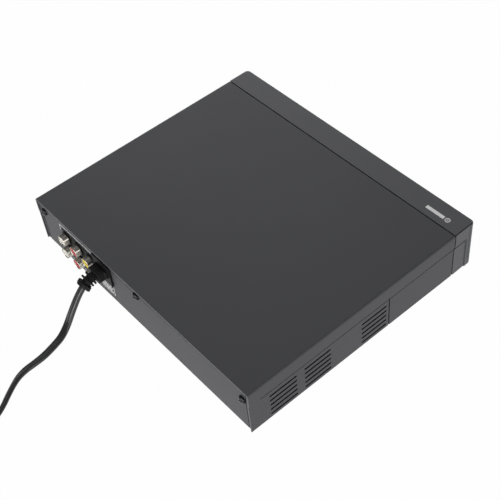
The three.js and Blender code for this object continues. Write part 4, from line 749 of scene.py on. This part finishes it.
# The front: one hollow moulding in black ABS that closes the cover's open end, round in plan at its corners.
# It is clipped to the base and takes the tray's door, the window, the buttons and the data socket.
FASCIA = Sizes(face=-98.5, top=42.5, round=0.25, corners=108)
CROWN = Sizes(corner=3.2, edge=0.6, depth=4.0, low=39.3, post=4.2, post_low=9.0)
SIDE_LINE = Sizes(level=29.75, height=0.9, depth=1.6, start=-91.0, end=-79.0)
TOP_LINE = Sizes(x=111.9, width=0.5, depth=1.2, start=-96.5, end=-79.0)
TONGUE = -81.0


def rounded(piece, radius, segments, chosen):
    """Rounds a piece's sharp edges that pass a test of their middle and direction, in millimetres."""
    mesh, sides = piece.data, {}
    for polygon in mesh.polygons:
        polygon.select = False
        for key in polygon.edge_keys:
            sides.setdefault(key, []).append(polygon.normal)
    for vertex in mesh.vertices:
        vertex.select = False
    for edge in mesh.edges:
        a, b = (mesh.vertices[v].co * 1000 for v in edge.vertices)
        normals = sides[edge.key]
        sharp = len(normals) == 2 and normals[0].dot(normals[1]) < 0.85
        edge.select = sharp and chosen((a + b) / 2, (b - a).normalized())
    with editing(piece, everything=False):
        bpy.ops.mesh.select_mode(type="EDGE")
        bpy.ops.mesh.bevel(offset=mm(radius), segments=segments, affect="EDGES")
    return piece


def cleaned(piece):
    """Merges doubled points and flat neighbours of a piece, so that later rounding stays clean."""
    with editing(piece):
        bpy.ops.mesh.remove_doubles(threshold=mm(0.02))
        bpy.ops.mesh.dissolve_degenerate(threshold=mm(0.01))
        bpy.ops.mesh.dissolve_limited(angle_limit=math.radians(0.3))
    return piece


# ABS: moulded in a spark-textured tool, so satin black with a fine, even grain, softer than the enamel.
abs_satin = surface("black ABS, moulded and textured", "#505053", 0.5, (45, 0.05), (0.7, 0.012), gloss=0.3)
# Painted shade: a near-black copy of the same plastic, put on the walls of its thin lines and on its tongue
# in the seam, for the shade that falls there.
abs_painted_shade = surface("black ABS, painted shade in the grooves and seam", "#0c0c0d", 0.6, (20, 0.08), (1.0, 0.02), gloss=0.15)
# Its front edge is filled out and cut again to one envelope, round at the two corners and crisp on top.
fascia, crown_y = copied("front_fascia", "front_moulding"), (FASCIA.face - 1, FASCIA.face + CROWN.depth)
crown = block("crown", around(0, 2 * (COVER.half + 1)), crown_y, (CROWN.low, FASCIA.top + 1))
for side in (-1, 1):
    carve(crown, side_block(side, CROWN.post, crown_y, (CROWN.post_low, CROWN.low + 1)), operation="UNION")
envelope = block("envelope", around(0, 2 * COVER.half), (FASCIA.face, TOP_LINE.end + 20), (-5, FASCIA.top))
rounded(envelope, CROWN.corner, 10, lambda middle, way: abs(way.z) > 0.9 and middle.y < FASCIA.face + 1)
rounded(envelope, CROWN.edge, 3, lambda middle, way: middle.z > FASCIA.top - 0.1)
cleaned(carve(carve(fascia, crown, operation="UNION"), envelope, operation="INTERSECT"))


def on_opening(middle, way):
    """Whether an edge of the front belongs to an opening in its face."""
    return middle.y < FASCIA.face + 0.01 and middle.z < CROWN.low and abs(middle.x) < FASCIA.corners


def in_groove(centre, normal):
    """Whether a face of the front belongs to its tongue or to one of its thin lines, where shade is painted.
    """
    if centre.y > TONGUE:
        return abs(normal.y) < 0.9
    if within(centre.z, SIDE_LINE.level, SIDE_LINE.height):
        return COVER.half - SIDE_LINE.depth - 0.1 < abs(centre.x) < SLOT_FIELD.outer
    deep = FASCIA.top - TOP_LINE.depth - 0.1 < centre.z < FASCIA.top - 0.05
    return within(abs(centre.x), TOP_LINE.x, TOP_LINE.width) and deep


rounded(fascia, FASCIA.round, 2, on_opening)
for side in (-1, 1):
    line = (SIDE_LINE.start, SIDE_LINE.end), around(SIDE_LINE.level, SIDE_LINE.height)
    edge = (TOP_LINE.start, TOP_LINE.end), (FASCIA.top - TOP_LINE.depth, FASCIA.top + 1)
    edge = block("edge", around(side * TOP_LINE.x, TOP_LINE.width), *edge)
    carve(fascia, side_block(side, SIDE_LINE.depth, *line), edge)
even(closed(fascia), 30)
hand_over(fascia, "case", abs_satin, "black_abs", "front_fascia")
# Paints shade near-black into the front's thin lines and onto its tongue in the seam.
paint_faces(fascia, abs_painted_shade, in_groove)

# A plain mark stands where such a front has its name: a disc and a rule, printed in the same white ink.
# Both lie on the front's top, near its corner.
TOP_MARK = Sizes(disc=(-99.2, -87.0), ring=1.9, line=0.55, hub=0.7, hub_line=0.35)
TOP_RULE = Sizes(x=(-96.2, -81.0), width=2.6)
top_marks, (low, high) = [], on_face(FASCIA.top)
for radius, line in ((TOP_MARK.ring, TOP_MARK.line), (TOP_MARK.hub, TOP_MARK.hub_line)):
    inner = radius - line
    rings = [(inner, low), (inner, high + 0.01), (radius, high + 0.01), (radius, low), (inner, low)]
    top_marks.append(standing("ring", rings, TOP_MARK.disc))
top_marks.append(ink_bar(TOP_RULE.x, around(TOP_MARK.disc[1], TOP_RULE.width), (low, high)))
hand_over(gathered(top_marks, "top_mark"), "case", ink, "black_abs")

# The display window: a plate of smoked acrylic set flush in the front, over the dark display module.
# Smoked acrylic: cast sheet, near black with a warm depth and the sharpest reflections on the set.
smoked = surface("smoked acrylic, polished", "#0b0a0a", 0.06, (30, 0.05), (9.0, 0.004), ior=1.49)
dressed("display_window", "display_window_plate", 0.15, "case", smoked, "window", whole=True)

# The buttons: a round power button and three keys, moulded in ABS with a stem that meets a switch on the
# board. Each has a dished or crowned face and a plain printed sign.
KEY_PLACES = {"eject_button": (44.03, 15.0), "play_button": (60.13, 15.0), "stop_button": (76.23, 15.0)}
POWER = Sizes(place=(98.0, 29.5), arc=1.5, line=0.35, gap=40, bar=1.9, steps=18)
HALF_SIGN = 1.2


def sign(node, place, *shapes):
    """The printed sign on a button's face: filled shapes, with corners in millimetres about its place."""
    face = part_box(node)[0][1] + mm(0.01)
    films = []
    for corners in shapes:
        bpy.ops.object.select_all(action="DESELECT")
        bpy.ops.mesh.primitive_circle_add(
            vertices=len(corners), radius=mm(1), fill_type="NGON", rotation=(math.pi / 2, 0, 0)
        )
        bpy.ops.object.transform_apply(location=True, rotation=True, scale=True)
        film = bpy.context.object
        for vertex, (x, z) in zip(film.data.vertices, corners):
            vertex.co = Vector((mm(place[0] + x), face, mm(place[1] + z)))
        with editing(film):
            bpy.ops.mesh.extrude_region_move(TRANSFORM_OT_translate={"value": mm(0, -INK.proud, 0)})
        films.append(bevelled(outward(film), 0.02, 1))
    hand_over(gathered(films, node + "_sign"), node, ink, "black_plastic")


def oblong(x, z):
    """The corners of an oblong, from its spans."""
    return [(x[0], z[0]), (x[1], z[0]), (x[1], z[1]), (x[0], z[1])]


# The keys' plastic is glossy, dulled a little on the crown by fingers.
key_plastic = surface("black ABS, moulded and handled", "#1c1c1e", 0.3, (4, 0.08), (0.8, 0.006))
full = (-HALF_SIGN, HALF_SIGN)
signs = {
    "eject_button": (
        [(-HALF_SIGN, -0.35), (HALF_SIGN, -0.35), (0, HALF_SIGN)],
        oblong(full, (-HALF_SIGN, -0.75)),
    ),
    "play_button": (
        [(-HALF_SIGN - 0.6, -HALF_SIGN), (0.5, 0), (-HALF_SIGN - 0.6, HALF_SIGN)],
        oblong((1.0, 1.45), full),
        oblong((2.0, 2.45), full),
    ),
    "stop_button": (oblong(full, full),),
}
for node, place in KEY_PLACES.items():
    dressed(node, node + "_cap", 0.45, node, key_plastic, "black_plastic", 3, whole=True)
    sign(node, place, *signs[node])

dressed("power_button", "power_button_cap", 0.6, "power_button", key_plastic, "black_plastic", 4, whole=True)
arc, span = [], 360 - 2 * POWER.gap
turns = [math.radians(90 + POWER.gap + span * i / POWER.steps) for i in range(POWER.steps + 1)]
for reach, way in ((POWER.arc, turns), (POWER.arc - POWER.line, turns[::-1])):
    arc += [(reach * math.cos(turn), reach * math.sin(turn)) for turn in way]
sign("power_button", POWER.place, arc, oblong(around(0, POWER.line), (0.1, POWER.bar)))

# The data socket: a folded shell of nickel-plated steel round a black tongue with four gold contacts.
# It is soldered to the button board and shows through the front.
USB = Sizes(x=97.0, half=5.55, low=14.15, high=17.0, front=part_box("usb_port")[0][1] / mm(1) + 4.0)
CONTACT = Sizes(count=4, pitch=2.4, width=1.0, length=5.5, thick=0.12, front=-92.8, level=15.0)


def on_tongue(centre, normal):
    """Whether a face of the data socket belongs to its tongue."""
    return abs(centre.x - USB.x) < USB.half and centre.y > USB.front and USB.low < centre.z < USB.high


usb = dressed("usb_port", "usb_shell", 0.12, "case", sleeve_nickel, "nickel", whole=True)
paint_faces(usb, polyester, on_tongue)
# Gold: a thin flash over nickel on the four contacts, smooth and warm.
gold = surface("gold flash on bronze", "#d9ac52", 0.3, (1.5, 0.08), (0.3, 0.003), metallic=1.0)
y = (CONTACT.front, CONTACT.front + CONTACT.length)
z = (CONTACT.level - CONTACT.thick, CONTACT.level + 0.02)
contacts = []
for x in row(USB.x, CONTACT.count, CONTACT.pitch):
    contacts.append(bevelled(block("contact", around(x, CONTACT.width), y, z), 0.04, 1))
hand_over(gathered(contacts, "usb_contacts"), "case", gold, "nickel")

# The disc tray: one black ABS moulding with a dished place for the disc and a toothed rack under its right
# side. It slides on the loader's ledges. Its door is a glossy strip clipped over its end.
tray_abs = surface("black ABS, moulded plain", "#1f1f21", 0.4, (40, 0.05), (0.7, 0.010), gloss=0.4)
# The same plastic from a polished tool: clear reflections, faintly wavy as mouldings are.
abs_gloss = surface("black ABS, moulded glossy", "#161618", 0.16, (20, 0.05), (6.0, 0.012))
dressed("disc_tray", "disc_tray_moulding", 0.25, "tray", tray_abs, "black_plastic", degrees=30)
dressed("tray_front", "tray_door", 0.6, "tray", abs_gloss, "black_abs", 4, whole=True)

# The loader: a frame moulded in dark grey ABS that stands on the base and holds the tray and its drive.
# A zinc-plated steel bridge crosses it and carries the clamping puck, a loose disc that centres the disc.
grey_abs = surface("dark grey ABS, moulded", "#4d4e51", 0.55, (35, 0.05), (0.8, 0.02), gloss=0.4)
dressed("loader_frame", "loader_frame_moulding", 0.3, "case", grey_abs, "grey_plastic")
dressed("clamp_bridge", "clamp_bridge_plate", 0.15, "case", zinc, "zinc_steel")

# Acetal: natural white, waxy and faintly cloudy, moulded smooth so that it runs dry.
acetal = surface("white acetal, moulded", "#dcd8cc", 0.42, (6, 0.04), (0.6, 0.008))
PUCK = Sizes(neck=9.0, flange=13.0, flange_thick=1.4, skirt=14.0, skirt_thick=4.4, recess=8.2, deep=2.5)
DISH = Sizes(radius=10.4, deep=0.5, pockets=6, x=(5.4, 8.8), width=1.8, cut=0.4)


def notched(piece, at, count, *spans):
    """Carves the same block out of a piece again and again about the piece's upright axis."""
    for i in range(count):
        cutter = block("notch", *spans)
        cutter.data.transform(Matrix.Translation(mm(*at, 0)) @ Matrix.Rotation(math.tau * i / count, 4, "Z"))
        carve(piece, cutter)
    return smooth(piece)


at, low, top = upright("clamper_puck")
skirt_top, flange_low, dish = low + PUCK.skirt_thick, top - PUCK.flange_thick, top - DISH.deep
rings = [
    (PUCK.recess, low + PUCK.deep), (PUCK.recess, low + 0.3), (PUCK.recess + 0.3, low),
    *drum(PUCK.skirt, low, skirt_top, 0.4), (PUCK.neck, skirt_top), (PUCK.neck, flange_low),
    *drum(PUCK.flange, flange_low, top, 0.3), (DISH.radius, top), (DISH.radius - 0.3, dish),
]
puck = standing("clamping_puck", rings, at, 64)
notched(puck, at, DISH.pockets, DISH.x, around(0, DISH.width), (dish - DISH.cut, top + 1))
hand_over(puck, "puck", acetal, "white_plastic", "clamper_puck")

# The tray's drive: a flat can motor with a small pulley turns the large acetal gear by a rubber belt.
# The gear runs on a post of the frame, and its teeth push the tray's rack.
MOTOR = Sizes(radius=11.5, height=7.3, edge=0.6, boss=4.2, step=0.12, shaft=1.0)
PULLEY = Sizes(drum=2.4, lip=4.0, bore=1.3, groove=0.75)
at, low, tip = upright("loading_motor")
top = low + MOTOR.height
rings = [
    *drum(MOTOR.radius, low, top, MOTOR.edge), (MOTOR.boss, top), (MOTOR.boss - 0.1, top + MOTOR.step),
    (MOTOR.shaft, top + MOTOR.step), (MOTOR.shaft, tip - 0.2), (MOTOR.shaft - 0.2, tip),
]
hand_over(standing("loading_motor_can", rings, at), "case", zinc, "zinc_steel", "loading_motor")

# Brass: turned on an automatic lathe, so warm and bright with fine rings.
brass = surface("brass, turned", "#c6a75c", 0.28, (3, 0.08), (0.3, 0.006), metallic=1.0)
at, low, top = upright("motor_pulley")
flange = [
    (PULLEY.bore, low), (PULLEY.lip - 0.2, low), (PULLEY.lip, low + 0.2), (PULLEY.lip, low + 0.4),
    (PULLEY.drum, low + PULLEY.groove),
]
rings = flange + [(radius, low + top - z) for radius, z in flange[::-1]] + flange[:1]
motor_pulley = standing("motor_pulley_turned", rings, at, 40)
hand_over(motor_pulley, "motor_pulley", brass, "nickel", "motor_pulley")
dressed("drive_gear", "drive_gear_moulding", 0.12, "drive_gear", acetal, "white_plastic")
dressed("loading_belt", "loading_belt_loop", 0.25, "case", rubber, "soft_rubber")

# The deck: a moulded plate hinged at the rear of the frame, with two steel rods, a lead screw and its motor.
# Its front pins ride in the lifting cam's slots, which raise it to the disc.
dressed("traverse_deck", "traverse_deck_moulding", 0.25, "deck", grey_abs, "grey_plastic")
dressed("lifting_cam", "lifting_cam_slide", 0.25, "cam", acetal, "grey_plastic")

# Ground steel: centreless-ground rod, mirror-bright round its girth with faint rings from the wheel.
ground_steel = surface("steel rod, ground", "#c8cacc", 0.2, (8, 0.05), (0.4, 0.003), metallic=1.0)
ROD_CHAMFER = 0.35
THREAD = Sizes(pitch=2.0, deep=0.35, plain=3.4)


def lying(node):
    """The axis (x, z) of a node that lies along Y, its radius and its two ends, in millimetres."""
    low, high = (corner / mm(1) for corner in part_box(node))
    return ((low.x + high.x) / 2, (low.z + high.z) / 2), (high.x - low.x) / 2, low.y, high.y


for side in ("left", "right"):
    axis, radius, front, back = lying("guide_rod_" + side)
    rod = turned(f"guide_rod_{side}_ground", drum(radius, front, back, ROD_CHAMFER), axis, 32, 30)
    hand_over(rod, "deck", ground_steel, "zinc_steel", "guide_rod_" + side)

# The lead screw's rolled thread has a 2 mm pitch. It is drawn as a row of rings, which look the same.
axis, radius, front, back = lying("lead_screw")
start, end, thread = *drum(radius, front, back, ROD_CHAMFER)[:2], []
y = front + THREAD.plain
while y + THREAD.pitch < back - THREAD.plain:
    thread += [(radius - THREAD.deep, y + 0.5), (radius - THREAD.deep, y + 1.1), (radius, y + 1.6)]
    y += THREAD.pitch
    thread.append((radius, y))
rings = [start, end, (radius, front + THREAD.plain), *thread, *drum(radius, front, back, ROD_CHAMFER)[2:]]
lead_screw = turned("lead_screw_rolled", rings, axis, 24, 30)
hand_over(lead_screw, "lead_screw", ground_steel, "zinc_steel", "lead_screw")

axis, radius, front, back = lying("sled_motor")
can_front, can_back = front + 1.2, back - 0.8
rings = [(1.6, front), (1.7, can_front), *drum(radius, can_front, can_back, 0.5), (1.4, can_back)]
rings.append((1.4, back))
hand_over(turned("sled_motor_can", rings, axis, 40), "deck", zinc, "zinc_steel", "sled_motor")

# The spindle motor and the turntable on its shaft, with a rubber ring that grips the disc.
# Three notches in its cone centre the disc.
SPINDLE = Sizes(can=11.0, height=6.0, shaft=0.8)
TABLE = Sizes(hub=5.0, radius=15.0, thick=1.6, pad=(9.2, 14.3))
CONE = Sizes(radius=7.3, top=5.9, bore=1.1, bore_top=27.3)
at, low, tip = upright("spindle_motor")
top = low + SPINDLE.height
rings = [
    (SPINDLE.can - 0.6, low), (SPINDLE.can, low + 0.6), (SPINDLE.can, top - 0.5), (SPINDLE.can - 0.5, top),
    (SPINDLE.shaft, top), (SPINDLE.shaft, tip - 0.2), (SPINDLE.shaft - 0.2, tip),
]
hand_over(standing("spindle_motor_can", rings, at), "deck", zinc, "zinc_steel", "spindle_motor")

at, low, top = upright("turntable")
plate = top - 1.6
rings = [
    (CONE.bore, CONE.bore_top), (CONE.bore, low), (TABLE.hub, low), (TABLE.hub, plate - TABLE.thick),
    *drum(TABLE.radius, plate - TABLE.thick, plate, 0.3), (TABLE.pad[1], plate), (TABLE.pad[0], plate),
    (CONE.radius, plate), (CONE.radius, plate + 0.7), (CONE.top, top), (2.2, top), (1.8, top - 0.5),
]
turntable = standing("turntable_moulding", rings, at, 72)
notched(turntable, at, 3, (5.2, 8.0), around(0, 1.6), (plate + 0.2, top + 1))
hand_over(turntable, "turntable", grey_abs, "grey_plastic", "turntable")


def paint_ring(piece, material, at, low, high, lean):
    """Gives a second material to the upward faces of a piece between two radii about its upright axis."""
    def chosen(centre, normal):
        return normal.z > lean and low < math.hypot(centre.x - at[0], centre.y - at[1]) < high
    paint_faces(piece, material, chosen)


paint_ring(turntable, rubber, at, *TABLE.pad, 0.9)

# The pickup: a die-cast zinc sled on the rods, with a soft-mounted lens that reads the disc from below.
# Die-cast zinc: dull silver-grey with the cloudy flow marks of its mould.
die_cast = surface("zinc, die-cast", "#8f9194", 0.48, (5, 0.16), (0.6, 0.02), metallic=1.0)
dressed("pickup_sled", "pickup_sled_casting", 0.35, "sled", die_cast, "nickel")
# The lens is moulded acrylic with a blue-violet anti-reflection coat, in a black ring.
LENS = Sizes(ring=3.5, seat=2.4, dome=((2.2, 0.3), (1.5, 0.1), (0.8, 0.02)))
coated = surface("acrylic lens, coated", "#47659c", 0.07, (2, 0.10), (2.0, 0.001), ior=1.49)
at, low, top = upright("pickup_lens")
rings = [(LENS.ring, low), (LENS.ring, top - 0.6), (LENS.ring - 0.3, top - 0.4), (LENS.seat, top - 0.4)]
rings += [(radius, top - drop) for radius, drop in LENS.dome]
lens = hand_over(standing("pickup_lens_moulding", rings, at, 40), "sled", polyester, "lens", "pickup_lens")
paint_ring(lens, coated, at, -1, LENS.seat, 0.3)

# The circuit boards: glass-epoxy plates with etched copper tracks under lacquer, on the base's standoffs.
# The power board in front takes the mains, and the main board reads the disc. Their parts are soldered on.
BOARD = Sizes(x=(33.0, 109.0), top=8.0, thick=1.6, main=(20.0, 91.5), power=(-71.8, 14.0))
TRACK = Sizes(pitch=1.6, field=11.0, edge=0.62)


def lined(name, skin, over_metal, pitch, roughness, strength, field=None):
    """A clear skin over fine parallel lines of metal, or over fields of lines that run along or across."""
    made = bpy.data.materials.new(name)
    tree = bare_tree(made)
    place = add_node(tree, "TexCoord").outputs["Object"]
    wave = {"Vector": place, "Scale": 1000.0 / pitch * math.pi / 10}
    ways = ("X", "Y") if field else ("Y",)
    lines = [add_node(tree, "TexWave", wave, bands_direction=way).outputs["Fac"] for way in ways]
    if field:
        cells = {"Vector": place, "Scale": 1000.0 / field}
        cell = add_node(tree, "TexVoronoi", cells, distance="CHEBYCHEV").outputs["Color"]
        pick, across, along = [
            add_node(tree, "Math", {0: value, 1: edge}, operation="GREATER_THAN").outputs[0]
            for value, edge in ((cell, 0.5), (lines[0], TRACK.edge), (lines[1], TRACK.edge))
        ]
        lines = [add_node(tree, "Mix", {0: pick, 2: across, 3: along}, data_type="FLOAT").outputs[0]]
    tints = {0: lines[0], 6: colour(skin), 7: colour(over_metal)}
    tint = add_node(tree, "Mix", tints, data_type="RGBA").outputs[2]
    bump = add_node(tree, "Bump", {"Height": lines[0], "Strength": strength, "Distance": mm(0.05)}).outputs[0]
    shader = add_node(tree, "BsdfPrincipled", {"Base Color": tint, "Roughness": roughness, "Normal": bump})
    add_node(tree, "OutputMaterial", {"Surface": shader.outputs[0]})
    return made


# Solder lacquer: clear and glossy, so that the etched tracks stand up in it, green on glass-epoxy and brown
# on phenolic paper.
lacquer = (TRACK.pitch, 0.32, 0.6, TRACK.field)
green_board = lined("solder lacquer over copper, green", "#12401f", "#1f5c2e", *lacquer)
brown_board = lined("phenolic board, lacquered", "#6b4a22", "#7d5a2c", *lacquer)
# Moulded epoxy: the dull charcoal of chip packages, slightly rough from the mould.
epoxy = surface("black epoxy, moulded", "#202022", 0.6, (3, 0.08), (0.4, 0.01))
nylon_white = surface("white nylon, moulded", "#d8d4c6", 0.45, (4, 0.04), (0.5, 0.01))
tinned = surface("tinned copper", "#c4c5c6", 0.35, (1.2, 0.10), (0.3, 0.006), metallic=1.0)
LEG = Sizes(pitch=1.6, width=0.6, reach=1.1, thick=0.3)


def on_board(low, high):
    """A span of heights above the boards' upper side."""
    return BOARD.top + low, BOARD.top + high


def chip(name, low, size, ways):
    """A chip package with its pin mark, and its rows of legs on one or both pairs of sides."""
    high, top = (low[0] + size[0], low[1] + size[1]), BOARD.top + size[2]
    body = block(name, (low[0], high[0]), (low[1], high[1]), on_board(0.1, size[2]))
    dot = standing("dot", [(0.6, top - 0.15), (0.6, top + 1)], (low[0] + 2, low[1] + 2), 20)
    bevelled(carve(body, dot), 0.2)
    legs = []
    for axis in ways:
        count = int((size[1 - axis] - 2) / LEG.pitch)
        for middle in row(low[1 - axis] + size[1 - axis] / 2, count, LEG.pitch):
            for edge, out in ((low[axis], -1), (high[axis], 1)):
                spans = [(edge - out * 0.2, edge + out * LEG.reach), around(middle, LEG.width)]
                if axis == 1:
                    spans.reverse()
                legs.append(block("leg", *spans, on_board(0, LEG.thick)))
    return body, gathered(legs, name + "_legs")


def can(name, place, radius, height, base, sleeve):
    """An electrolytic can in its printed sleeve: crimped near the board, and scored with a cross on top."""
    top = base + height
    rings = [
        (radius - 0.6, base), (radius, base + 0.6), (radius, base + 1.6), (radius - 0.45, base + 2.1),
        (radius, base + 2.6), (radius, top - 0.6), (radius - 0.5, top), (radius - 1.0, top),
        (radius - 1.1, top - 0.15),
    ]
    made = standing(name, rings, place, 40)
    for x, y in ((radius * 1.2, 0.4), (0.4, radius * 1.2)):
        carve(made, block("score", around(place[0], x), around(place[1], y), (top - 0.4, top + 1)))
    smooth(made)
    made.data.materials.append(sleeve)
    return made


def board_plate(name, y):
    """A board's plate, its sawn edges just broken."""
    return bevelled(block(name, BOARD.x, y, on_board(-BOARD.thick, 0)), 0.1, 1)


def board_socket(name, x, y, height, wall, floor, edge):
    """A moulded socket on a board: a block with a well, from its spans, height, side walls and floor."""
    well = block("well", (x[0] + wall, x[1] - wall), (y[0] + 0.8, y[1] - 0.8), on_board(floor, height + 1))
    return bevelled(carve(block(name, x, y, on_board(0, height)), well), edge)


hand_over(board_plate("main_board_plate", BOARD.main), "case", green_board, "circuit_board", "main_board")
decoder, decoder_legs = chip("decoder", (53.16, 40.09), (20.0, 20.0, 1.6), (0, 1))
memory, memory_legs = chip("memory", (79.2, 41.94), (10.0, 18.0, 1.2), (0,))
regulator_x = (94.9, 102.8)
regulator = bevelled(block("regulator", regulator_x, (29.6, 36.6), on_board(0.3, 4.2)), 0.4)
hand_over(gathered([decoder, memory, regulator], "main_board_chips"), "case", epoxy, "black_plastic")
tab = bevelled(block("tab", regulator_x, (36.6, 37.8), on_board(0, 6.0)), 0.2)
hand_over(gathered([decoder_legs, memory_legs, tab], "main_board_legs"), "case", tinned, "nickel")
sockets = [
    board_socket("ribbon_socket", (36.6, 40.6), (42.2, 58.2), 4, 1.6, 1, 0.2),
    board_socket("power_socket", (63.2, 81.1), (23.3, 29.2), 7, 0.8, 1.5, 0.25),
]
pins = [block("pin", around(x, 0.64), (25.9, 26.54), on_board(1, 6)) for x in row(72.15, 7, 2.2)]
pins = gathered([bevelled(pin, 0.12, 1) for pin in pins], "main_board_pins")
hand_over(gathered(sockets, "main_board_sockets"), "case", nylon_white, "white_plastic")
hand_over(pins, "case", tinned, "nickel")

# The cans' sleeves are shrunk vinyl, glossier than the cord's, over drawn aluminium that shows on top.
sleeve_vinyl = surface("black vinyl sleeve, shrunk", "#17181b", 0.28, (8, 0.08), (1.5, 0.02))
aluminium = surface("aluminium, drawn", "#c6c8ca", 0.35, (4, 0.06), (0.4, 0.006), metallic=1.0)
MAIN_CANS = ((82.83, 32.31), (98.84, 49.89), (98.84, 64.21))
POWER_CANS = ((62.84, 2.22), (73.04, 2.22))
cans = [can("can", place, 3.2, 7.0, BOARD.top, sleeve_vinyl) for place in MAIN_CANS]
cans += [can("can", place, 4.0, 12.0, BOARD.top, sleeve_vinyl) for place in POWER_CANS]
cans = hand_over(gathered(cans, "board_cans"), "case", sleeve_vinyl, "black_plastic")
paint_faces(cans, aluminium, lambda centre, normal: normal.z > 0.8 and centre.z > BOARD.top + 6.5)

# The power board: a single-sided phenolic plate. A fuse, a choke, a finned heat sink and an output socket
# stand on its upper side.
hand_over(board_plate("power_board_plate", BOARD.power), "case", brown_board, "circuit_board", "power_board")
SINK = Sizes(x=(93.6, 97.4), y=(-11.8, 12.1), height=20.0, spine=1.2, fins=7, fin=1.2)
fins = [block("spine", (SINK.x[0], SINK.x[0] + SINK.spine), SINK.y, on_board(0, SINK.height))]
for i in range(SINK.fins):
    y = SINK.y[0] + (SINK.y[1] - SINK.y[0] - SINK.fin) * i / (SINK.fins - 1)
    fins.append(block("fin", (SINK.x[0] + 1, SINK.x[1]), (y, y + SINK.fin), on_board(0.1, SINK.height - 0.1)))
heat_sink = gathered([bevelled(fin, 0.2) for fin in fins], "heat_sink")
hand_over(heat_sink, "case", aluminium, "zinc_steel")

# Ferrite: pressed and fired powder, charcoal and dry like slate. The winding is enamelled copper wire.
ferrite = surface("ferrite, sintered", "#3a393a", 0.7, (3, 0.12), (0.6, 0.03))
wound = surface("copper wire, enamelled and wound", "#a05a2c", 0.35, (2, 0.18), (0.7, 0.08), metallic=0.8)
CHOKE = Sizes(at=(48.06, -52.6), radius=6.9, bobbin=6.2, belly=6.5, top=21.0, core=2.0)
low, top = BOARD.top, CHOKE.top
rings = [
    (CHOKE.radius, low), (CHOKE.radius, low + 1.5), (CHOKE.bobbin, low + 1.7), (CHOKE.belly, low + 6),
    (CHOKE.bobbin, top - 1.7), (CHOKE.radius, top - 1.5), (CHOKE.radius, top - 0.2),
    (CHOKE.radius - 0.2, top), (CHOKE.core, top), (CHOKE.core, top - 1.0),
]
choke = hand_over(standing("choke_coil", rings, CHOKE.at), "case", ferrite, "black_plastic")
winding = (BOARD.top + 1.6, CHOKE.top - 1.6)
paint_faces(choke, wound, lambda centre, normal: winding[0] < centre.z < winding[1] and abs(normal.z) < 0.8)

FUSE = Sizes(x=(61.2, 80.8), y=-65.7, z=11.2, radius=1.9, cap=2.6, cap_length=5.5)


def crosswise(name, rings):
    """A body of the fuse, turned about the Y axis and laid along X."""
    made = turned(name, rings, (0, 0), 32)
    made.data.transform(Matrix.Translation(mm(0, FUSE.y, FUSE.z)) @ Matrix.Rotation(-math.pi / 2, 4, "Z"))
    return made


left_end = [(FUSE.cap - 0.3, FUSE.x[0]), (FUSE.cap, FUSE.x[0] + 0.3), (FUSE.cap, FUSE.x[0] + FUSE.cap_length)]
right_end = [(radius, sum(FUSE.x) - x) for radius, x in left_end[::-1]]
caps = [crosswise("cap", left_end), crosswise("cap", right_end)]
for x in (FUSE.x[0] + 1.2, FUSE.x[1] - 3.2):
    clip = block("clip", (x, x + 2.0), around(FUSE.y, 3.6), (BOARD.top, FUSE.z - 1.5))
    caps.append(bevelled(clip, 0.2))
hand_over(gathered(caps, "fuse_caps"), "case", nickel, "nickel")
# Fired ceramic: white, dense and faintly glossy like porcelain.
ceramic = surface("white ceramic, fired", "#d9d6cc", 0.35, (5, 0.04), (0.5, 0.006))
tube = crosswise("fuse_tube", [(FUSE.radius, FUSE.x[0] + 3), (FUSE.radius, FUSE.x[1] - 3)])
hand_over(tube, "case", ceramic, "white_plastic")
output_socket = board_socket("output_socket", (57.1, 77.0), (9.1, 13.9), 7, 0.8, 1.5, 0.25)
hand_over(output_socket, "case", nylon_white, "white_plastic")

# The mains transformer: two ferrite halves round a bobbin whose windings are wrapped in yellow tape.
# Polyester tape: thin glossy film, its overlaps showing as soft bands.
CORE = Sizes(half=9.8, low=12.1, high=20.4, middle=upright("power_transformer")[0][0])
taped = surface("polyester tape, wrapped", "#c9a63a", 0.32, (5, 0.08), (3.0, 0.06))
transformer = dressed("power_transformer", "power_transformer_wound", 0.7, "case", taped, "winding", 3)
paint_faces(
    transformer,
    ferrite,
    lambda centre, normal: abs(centre.x - CORE.middle) > CORE.half and CORE.low < centre.z < CORE.high,
)

# The mains capacitor: the largest can, in a black sleeve with one pale stripe down the side of its
# negative leg. The stripe is printed on the sleeve before it is shrunk.
stripe = surface("pale grey vinyl print", "#a9abad", 0.35, (6, 0.06), (1.5, 0.02))
at, low, top = upright("mains_capacitor")
mains_can = can("mains_capacitor_can", at, 8.0, top - low, low, sleeve_vinyl)
hand_over(mains_can, "case", sleeve_vinyl, "black_plastic", "mains_capacitor")
paint_faces(mains_can, aluminium, lambda centre, normal: normal.z > 0.8 and centre.z > top - 1)
stripe_low = low + 3


def on_stripe(centre, normal):
    """Whether a face of the mains capacitor lies under its stripe."""
    return abs(normal.z) < 0.5 and normal.x < -0.93 and centre.z > stripe_low


paint_faces(mains_can, stripe, on_stripe)

# The button board: a narrow plate behind the front with four push switches and the display module.
# It is held by three posts of the front moulding.
SWITCH_FRONT = -90.6
button_board = dressed(
    "button_board", "button_board_plate", 0.15, "case", green_board, "circuit_board"
)
paint_faces(button_board, epoxy, lambda centre, normal: centre.y < SWITCH_FRONT)

# The ribbon cable: fourteen flat tinned conductors, 1 mm apart, between two films of white polyester.
# It arches from its socket on the main board to the loader's wall.
film = lined("white polyester film, laminated over conductors", "#cfcfca", "#9a9b9c", 1.0, 0.35, 0.5)
ribbon = smooth(copied("ribbon_cable", "ribbon_cable_film"), 40)
hand_over(ribbon, "case", film, "ribbon", "ribbon_cable")
